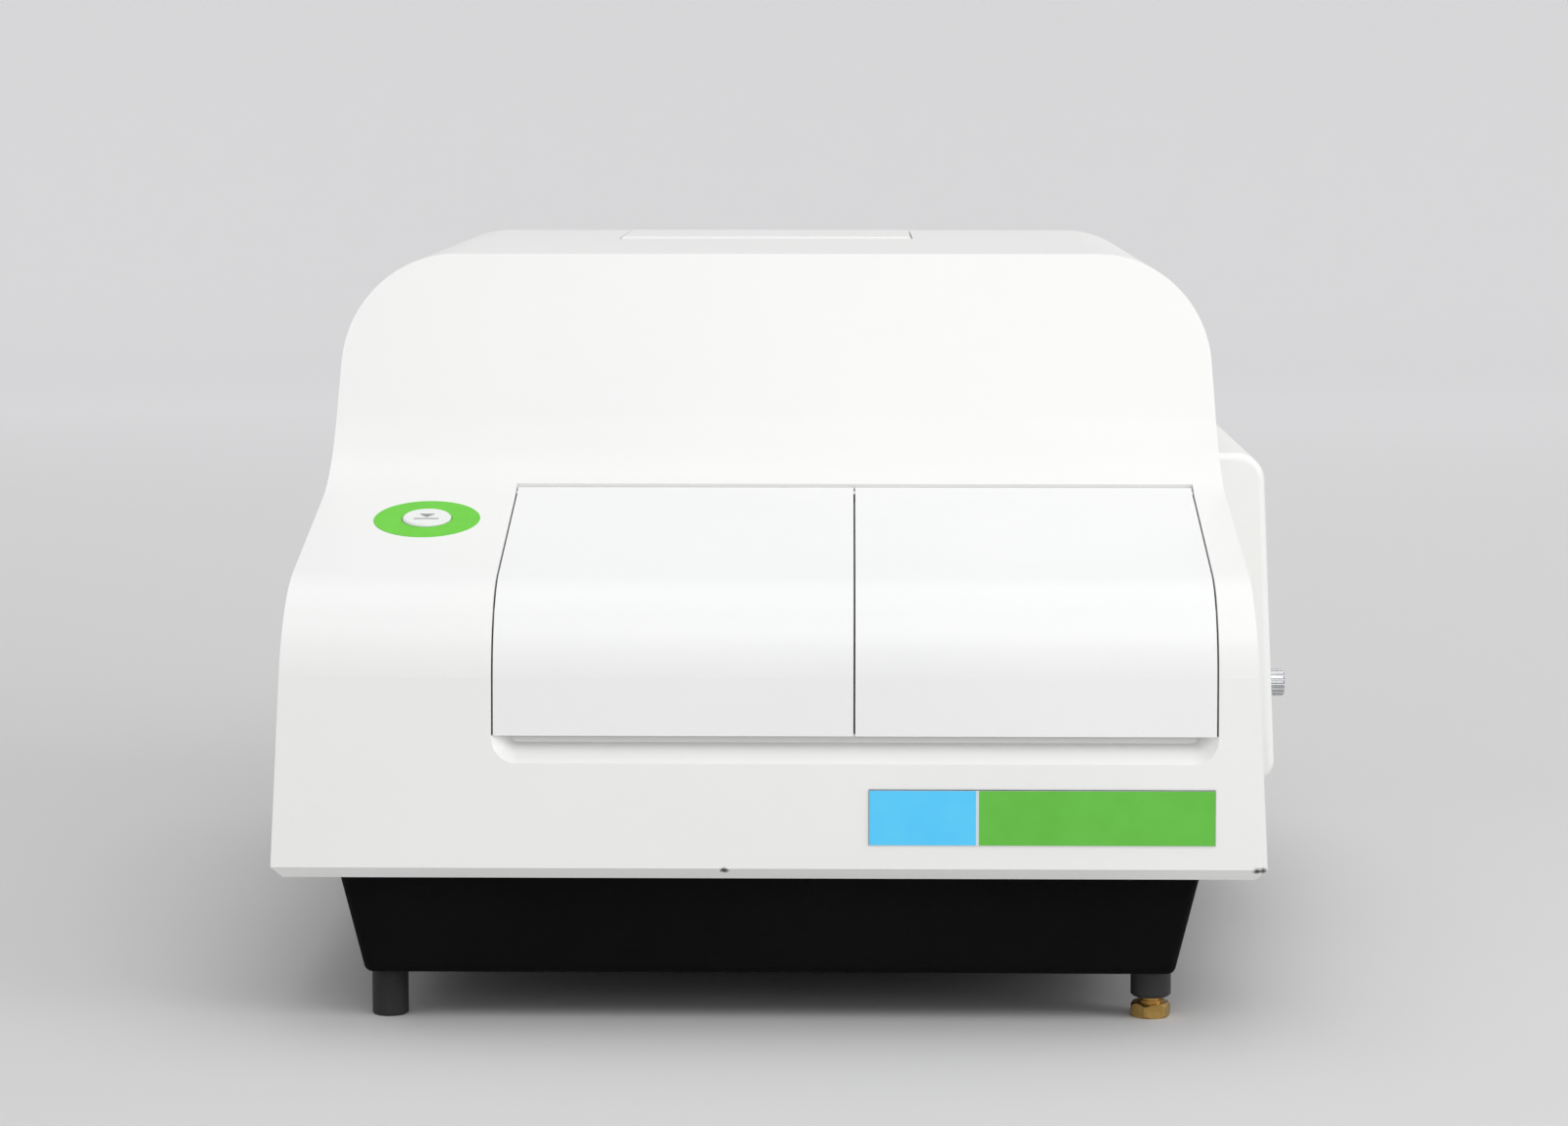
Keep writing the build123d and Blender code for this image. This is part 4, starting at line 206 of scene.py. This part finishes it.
# One entry for each material slot.
SOLID_FINISHES = {
    "white_shell": dict(tone=(0.885, 0.885, 0.862), shade=(0.868, 0.870, 0.853), patch=7.0,
        rough=(0.30, 0.38), grain=1500.0, depth=0.00003, spots=RIM_CHIPS + SHELL_MARKS,
        spot_tone=(0.05, 0.048, 0.045)),
    "white_door": dict(tone=(0.882, 0.883, 0.874), shade=(0.866, 0.868, 0.862), patch=8.0,
        rough=(0.28, 0.36), grain=1500.0, depth=0.00003),
    "black_paint": dict(tone=(0.0020, 0.0020, 0.0022), shade=(0.0030, 0.0030, 0.0032), patch=12.0,
        rough=(0.55, 0.68), grain=1400.0, depth=0.00008, level=0.07),
    "black_plastic": dict(tone=(0.012, 0.012, 0.013), shade=(0.018, 0.018, 0.019), patch=20.0,
        rough=(0.45, 0.6), grain=1800.0, depth=0.00005),
    "foot_rubber": dict(tone=(0.012, 0.012, 0.012), shade=(0.022, 0.021, 0.020), patch=40.0,
        rough=(0.62, 0.8), grain=1300.0, depth=0.00006),
    "brass": dict(tone=(0.62, 0.40, 0.13), shade=(0.44, 0.27, 0.08), patch=160.0, rough=(0.22, 0.42),
        grain=500.0, depth=0.00004, stretch=(1, 1, 6), metal=1.0),
    "steel": dict(tone=(0.62, 0.63, 0.64), shade=(0.50, 0.51, 0.53), patch=60.0, rough=(0.20, 0.34),
        grain=700.0, depth=0.00001, stretch=(0.2, 1, 1), metal=1.0),
    "aluminium": dict(tone=(0.70, 0.71, 0.72), shade=(0.60, 0.61, 0.63), patch=25.0, rough=(0.34, 0.50),
        grain=900.0, depth=0.00002, stretch=(0.08, 1, 1), metal=1.0),
    "zinc_sheet": dict(tone=(0.53, 0.54, 0.55), shade=(0.47, 0.48, 0.49), patch=90.0,
        rough=(0.36, 0.50), grain=600.0, depth=0.00002, metal=0.85),
    "black_anodised": dict(tone=(0.018, 0.018, 0.020), shade=(0.030, 0.030, 0.033), patch=30.0,
        rough=(0.34, 0.5), grain=1200.0, depth=0.00002, metal=0.6),
    "grey_liner": dict(tone=(0.62, 0.62, 0.61), shade=(0.66, 0.66, 0.655), patch=18.0,
        rough=(0.45, 0.62), grain=1100.0, depth=0.00006),
    "carrier_grey": dict(tone=(0.19, 0.20, 0.215), shade=(0.23, 0.24, 0.255), patch=22.0,
        rough=(0.40, 0.55), grain=1300.0, depth=0.00004),
    "ring_green": dict(tone=(0.120, 0.60, 0.015), shade=(0.135, 0.63, 0.022), patch=60.0,
        rough=(0.34, 0.46), grain=1500.0, depth=0.00002, level=0.2),
    "badge_green": dict(tone=(0.118, 0.51, 0.045), shade=(0.130, 0.54, 0.055), patch=60.0,
        rough=(0.30, 0.42), grain=900.0, depth=0.00001, level=0.35, coat=0.1),
    "badge_blue": dict(tone=(0.072, 0.60, 1.0), shade=(0.086, 0.63, 1.0), patch=60.0,
        rough=(0.28, 0.40), grain=900.0, depth=0.00001, coat=0.3),
    "badge_white": dict(tone=(0.80, 0.82, 0.82), shade=(0.74, 0.77, 0.77), patch=60.0,
        rough=(0.28, 0.38), grain=900.0, depth=0.00001),
    "button_white": dict(tone=(0.85, 0.86, 0.84), shade=(0.80, 0.82, 0.80), patch=80.0,
        rough=(0.24, 0.34), grain=1500.0, depth=0.00002),
    "belt_rubber": dict(tone=(0.020, 0.020, 0.021), shade=(0.035, 0.034, 0.033), patch=60.0,
        rough=(0.6, 0.8), grain=1600.0, depth=0.0001, stretch=(0.2, 3, 0.2)),
    "circuit_board": dict(tone=(0.020, 0.13, 0.050), shade=(0.030, 0.17, 0.065), patch=90.0,
        rough=(0.3, 0.45), grain=900.0, depth=0.00005),
}
CLEAR_FINISHES = {
    "filter_glass": dict(tone=(0.45, 0.25, 0.62), rough=0.03, alpha=0.7),
    "lens_glass": dict(tone=(0.55, 0.62, 0.72), rough=0.02, alpha=0.5),
    "lamp_glass": dict(tone=(0.85, 0.85, 0.80), rough=0.03, alpha=0.45),
}
FINISHES = {name: finish_of(name, **settings) for name, settings in SOLID_FINISHES.items()}
FINISHES.update({name: clear_of(name, **settings) for name, settings in CLEAR_FINISHES.items()})

# Dark film for the strips round the badge: a painted shadow of the recess the badge sits in.
BADGE_SHADOW_FILM = finish_of("badge_painted_shadow_film", tone=(0.10, 0.10, 0.13), shade=(0.17, 0.17, 0.20), patch=120.0,
                 rough=(0.5, 0.7), grain=1500.0, depth=0.00001)
MARK = finish_of("button_print", tone=(0.20, 0.22, 0.21), shade=(0.28, 0.30, 0.29), patch=400.0,
                 rough=(0.4, 0.6), grain=2500.0, depth=0.00001)

for part in frame["record"]["subparts"]:
    node = NODES[part["node"]]
    node.data.materials.clear()
    node.data.materials.append(FINISHES[part["material_slot"]])


# ---------------------------------------------------------------- stage, light, camera
def stage_finish(name):
    """Plain matt surface of the stage, whose tone changes slowly from front to back; far behind, it is
    painted paler as painted light where the lamps reach little.
    """
    graph = Graph(name)
    depth = graph.add("ShaderNodeSeparateXYZ", Vector=graph.place).outputs["Y"]
    behind = graph.blend(graph.span(depth, 0.0, 1.0, *FAR_FADE), FLOOR_TONE, FAR_PAINTED_PALE_TONE)
    graph.link(graph.blend(graph.span(depth, 0.0, 1.0, *LAMP_FADE), behind, LAMP_SIDE_TONE), "Base Color")
    graph.shader.inputs["Roughness"].default_value = STAGE_ROUGHNESS
    graph.shader.inputs["Specular IOR Level"].default_value = STAGE_LEVEL
    return graph.material


def join_rows(mesh, rows):
    """Faces between each closed row of points and the next."""
    for low, high in zip(rows, rows[1:]):
        count = len(low)
        for step in range(count):
            mesh.faces.new((low[step], low[(step + 1) % count], high[(step + 1) % count], high[step]))


def object_of(name, mesh, finish):
    """New object in the scene from a bmesh, which is freed."""
    data = bpy.data.meshes.new(name)
    mesh.to_mesh(data)
    mesh.free()
    data.materials.append(finish)
    thing = bpy.data.objects.new(name, data)
    bpy.context.scene.collection.objects.link(thing)
    return thing


def make_stage():
    """Floor that curves up into a far backdrop on all sides, as one bowl."""
    mesh = bmesh.new()
    rows = []
    for ring in range(STAGE_RINGS):
        share = ring / (STAGE_RINGS - 1)
        if share < STAGE_FLAT_SHARE:
            radius, height = STAGE_FLAT * share / STAGE_FLAT_SHARE, 0.0
        else:
            turn = (share - STAGE_FLAT_SHARE) / (1 - STAGE_FLAT_SHARE) * math.pi / 2
            radius = STAGE_FLAT + STAGE_RISE * math.sin(turn)
            height = STAGE_RISE * (1 - math.cos(turn)) * STAGE_TALL
        radius = max(radius, 0.001)
        turns = [2 * math.pi * step / STAGE_STEPS for step in range(STAGE_STEPS)]
        rows.append([mesh.verts.new((radius * math.cos(turn), radius * math.sin(turn), height))
                     for turn in turns])
    join_rows(mesh, rows)
    mesh.faces.new(rows[0])
    floor = object_of("floor", mesh, stage_finish("floor_finish"))
    for face in floor.data.polygons:
        face.use_smooth = True


def make_world():
    """Even light from all round."""
    world = bpy.data.worlds.new("soft_room")
    bpy.context.scene.world = world
    world.use_nodes = True
    background = world.node_tree.nodes["Background"]
    background.inputs["Color"].default_value = (*WORLD_TONE, 1)
    background.inputs["Strength"].default_value = WORLD_LIGHT


def add_lamp(name, place, target, size, power):
    """Soft rectangular lamp that points at its target."""
    data = bpy.data.lights.new(name, "AREA")
    data.shape = "RECTANGLE"
    data.size, data.size_y = size
    data.energy = power
    lamp = bpy.data.objects.new(name, data)
    lamp.location = place
    lamp.rotation_euler = (Vector(target) - Vector(place)).to_track_quat("-Z", "Y").to_euler()
    bpy.context.scene.collection.objects.link(lamp)


def make_camera():
    data = bpy.data.cameras.new("camera")
    data.sensor_width = 36.0
    data.lens = CAMERA_LENS
    data.clip_start, data.clip_end = 0.05, 60.0
    camera = bpy.data.objects.new("camera", data)
    camera.location = CAMERA_PLACE
    camera.rotation_euler = (math.radians(90 - CAMERA_PITCH), 0, math.radians(CAMERA_YAW))
    bpy.context.scene.collection.objects.link(camera)
    bpy.context.scene.camera = camera


def flat_of(node):
    """Middle of a node's largest flat that faces the front, and its right, up and outward directions."""
    mesh = NODES[node].data
    groups = {}
    for face in mesh.polygons:
        if face.normal.y < -0.1 and abs(face.normal.x) < 0.01:
            groups.setdefault(tuple(round(part, 2) for part in face.normal), []).append(face)
    flat = max(groups.values(), key=lambda faces: sum(face.area for face in faces))
    out = flat[0].normal.copy()
    right = Vector((1, 0, 0))
    up = out.cross(right)
    points = [mesh.vertices[index].co for face in flat for index in face.vertices]
    ends = [(min(point.dot(axis) for point in points), max(point.dot(axis) for point in points))
            for axis in (right, up, out)]
    middle = right * sum(ends[0]) / 2 + up * sum(ends[1]) / 2 + out * ends[2][1]
    return middle, right, up, out


def thin_piece(name, outlines, node, body, finish, thick):
    """Thin mark that lies on a node's flat, either a print or a painted shadow; each outline is a list of
    (x, y) in metres.
    """
    middle, right, up, out = flat_of(node)
    mesh = bmesh.new()
    for points in outlines:
        centre = Vector((sum(p[0] for p in points), sum(p[1] for p in points))) / len(points)
        rows = []
        bevel = thick * BEVEL_SHARE
        for height, shrink in ((0.0, 0.0), (thick - bevel, 0.0), (thick, bevel)):
            row = []
            for point in points:
                reach = Vector(point) - centre
                reach = centre + reach * (1 - shrink / reach.length)
                row.append(mesh.verts.new(middle + right * reach.x + up * reach.y + out * height))
            rows.append(row)
        join_rows(mesh, rows)
        mesh.faces.new(rows[-1])
        mesh.faces.new(rows[0][::-1])
    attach(object_of(name, mesh, finish), body)


def rounded(points, radius):
    """Closed outline with each corner replaced by a short arc; points run anticlockwise."""
    result = []
    for index, point in enumerate(points):
        corner = Vector(point)
        before = (Vector(points[index - 1]) - corner).normalized()
        after = (Vector(points[(index + 1) % len(points)]) - corner).normalized()
        half = math.acos(max(-1, min(1, before.dot(after)))) / 2
        centre = corner + (before + after).normalized() * (radius / math.sin(half))
        start = corner + before * (radius / math.tan(half)) - centre
        sweep = math.pi - 2 * half
        for step in range(CORNER_STEPS + 1):
            turn = sweep * step / CORNER_STEPS
            result.append((centre.x + start.x * math.cos(turn) - start.y * math.sin(turn),
                           centre.y + start.x * math.sin(turn) + start.y * math.cos(turn)))
    return result


def box_outline(x0, y0, x1, y1, radius):
    return rounded([(x0, y0), (x1, y0), (x1, y1), (x0, y1)], radius)


def make_badge_painted_shadow():
    """Dark strips round the badge that paint the shadow of its recess, widest along its top, where the
    recess shades it most.
    """
    low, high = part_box("badge_plate")
    half = (high[0] - low[0]) / 2
    tall = math.hypot(high[2] - low[2], high[1] - low[1]) / 2
    strips = {
        "badge_painted_shadow_top": (-half - SHADOW_WIDTH_SIDE, tall, half + SHADOW_WIDTH_SIDE, tall + SHADOW_WIDTH_TOP),
        "badge_painted_shadow_left": (-half - SHADOW_WIDTH_SIDE, -tall, -half, tall),
        "badge_painted_shadow_right": (half, -tall, half + SHADOW_WIDTH_SIDE, tall),
    }
    for name, (x0, y0, x1, y1) in strips.items():
        outline = box_outline(x0, y0, x1, y1, SHADOW_LINE_CORNER)
        # Each strip is dark film that paints the recess's shadow.
        thin_piece(name, [outline], "badge_plate", "root", BADGE_SHADOW_FILM, SHADOW_FILM_THICK)


def make_button_mark():
    """Open tray with an arrow that points into it, printed on the load button."""
    tray = box_outline(-0.0062, -0.0040, 0.0062, -0.0026, 0.0005)
    arrow = rounded([(-0.0042, 0.0038), (0.0, -0.0014), (0.0042, 0.0038)], 0.0004)
    thin_piece("button_mark", [tray, arrow], "load_button", "button", MARK, PRINT_THICK)


make_badge_painted_shadow()
make_button_mark()
make_stage()
make_world()
for lamp in LAMPS:
    add_lamp(*lamp)
make_camera()
bpy.context.scene.view_settings.view_transform = "Standard"
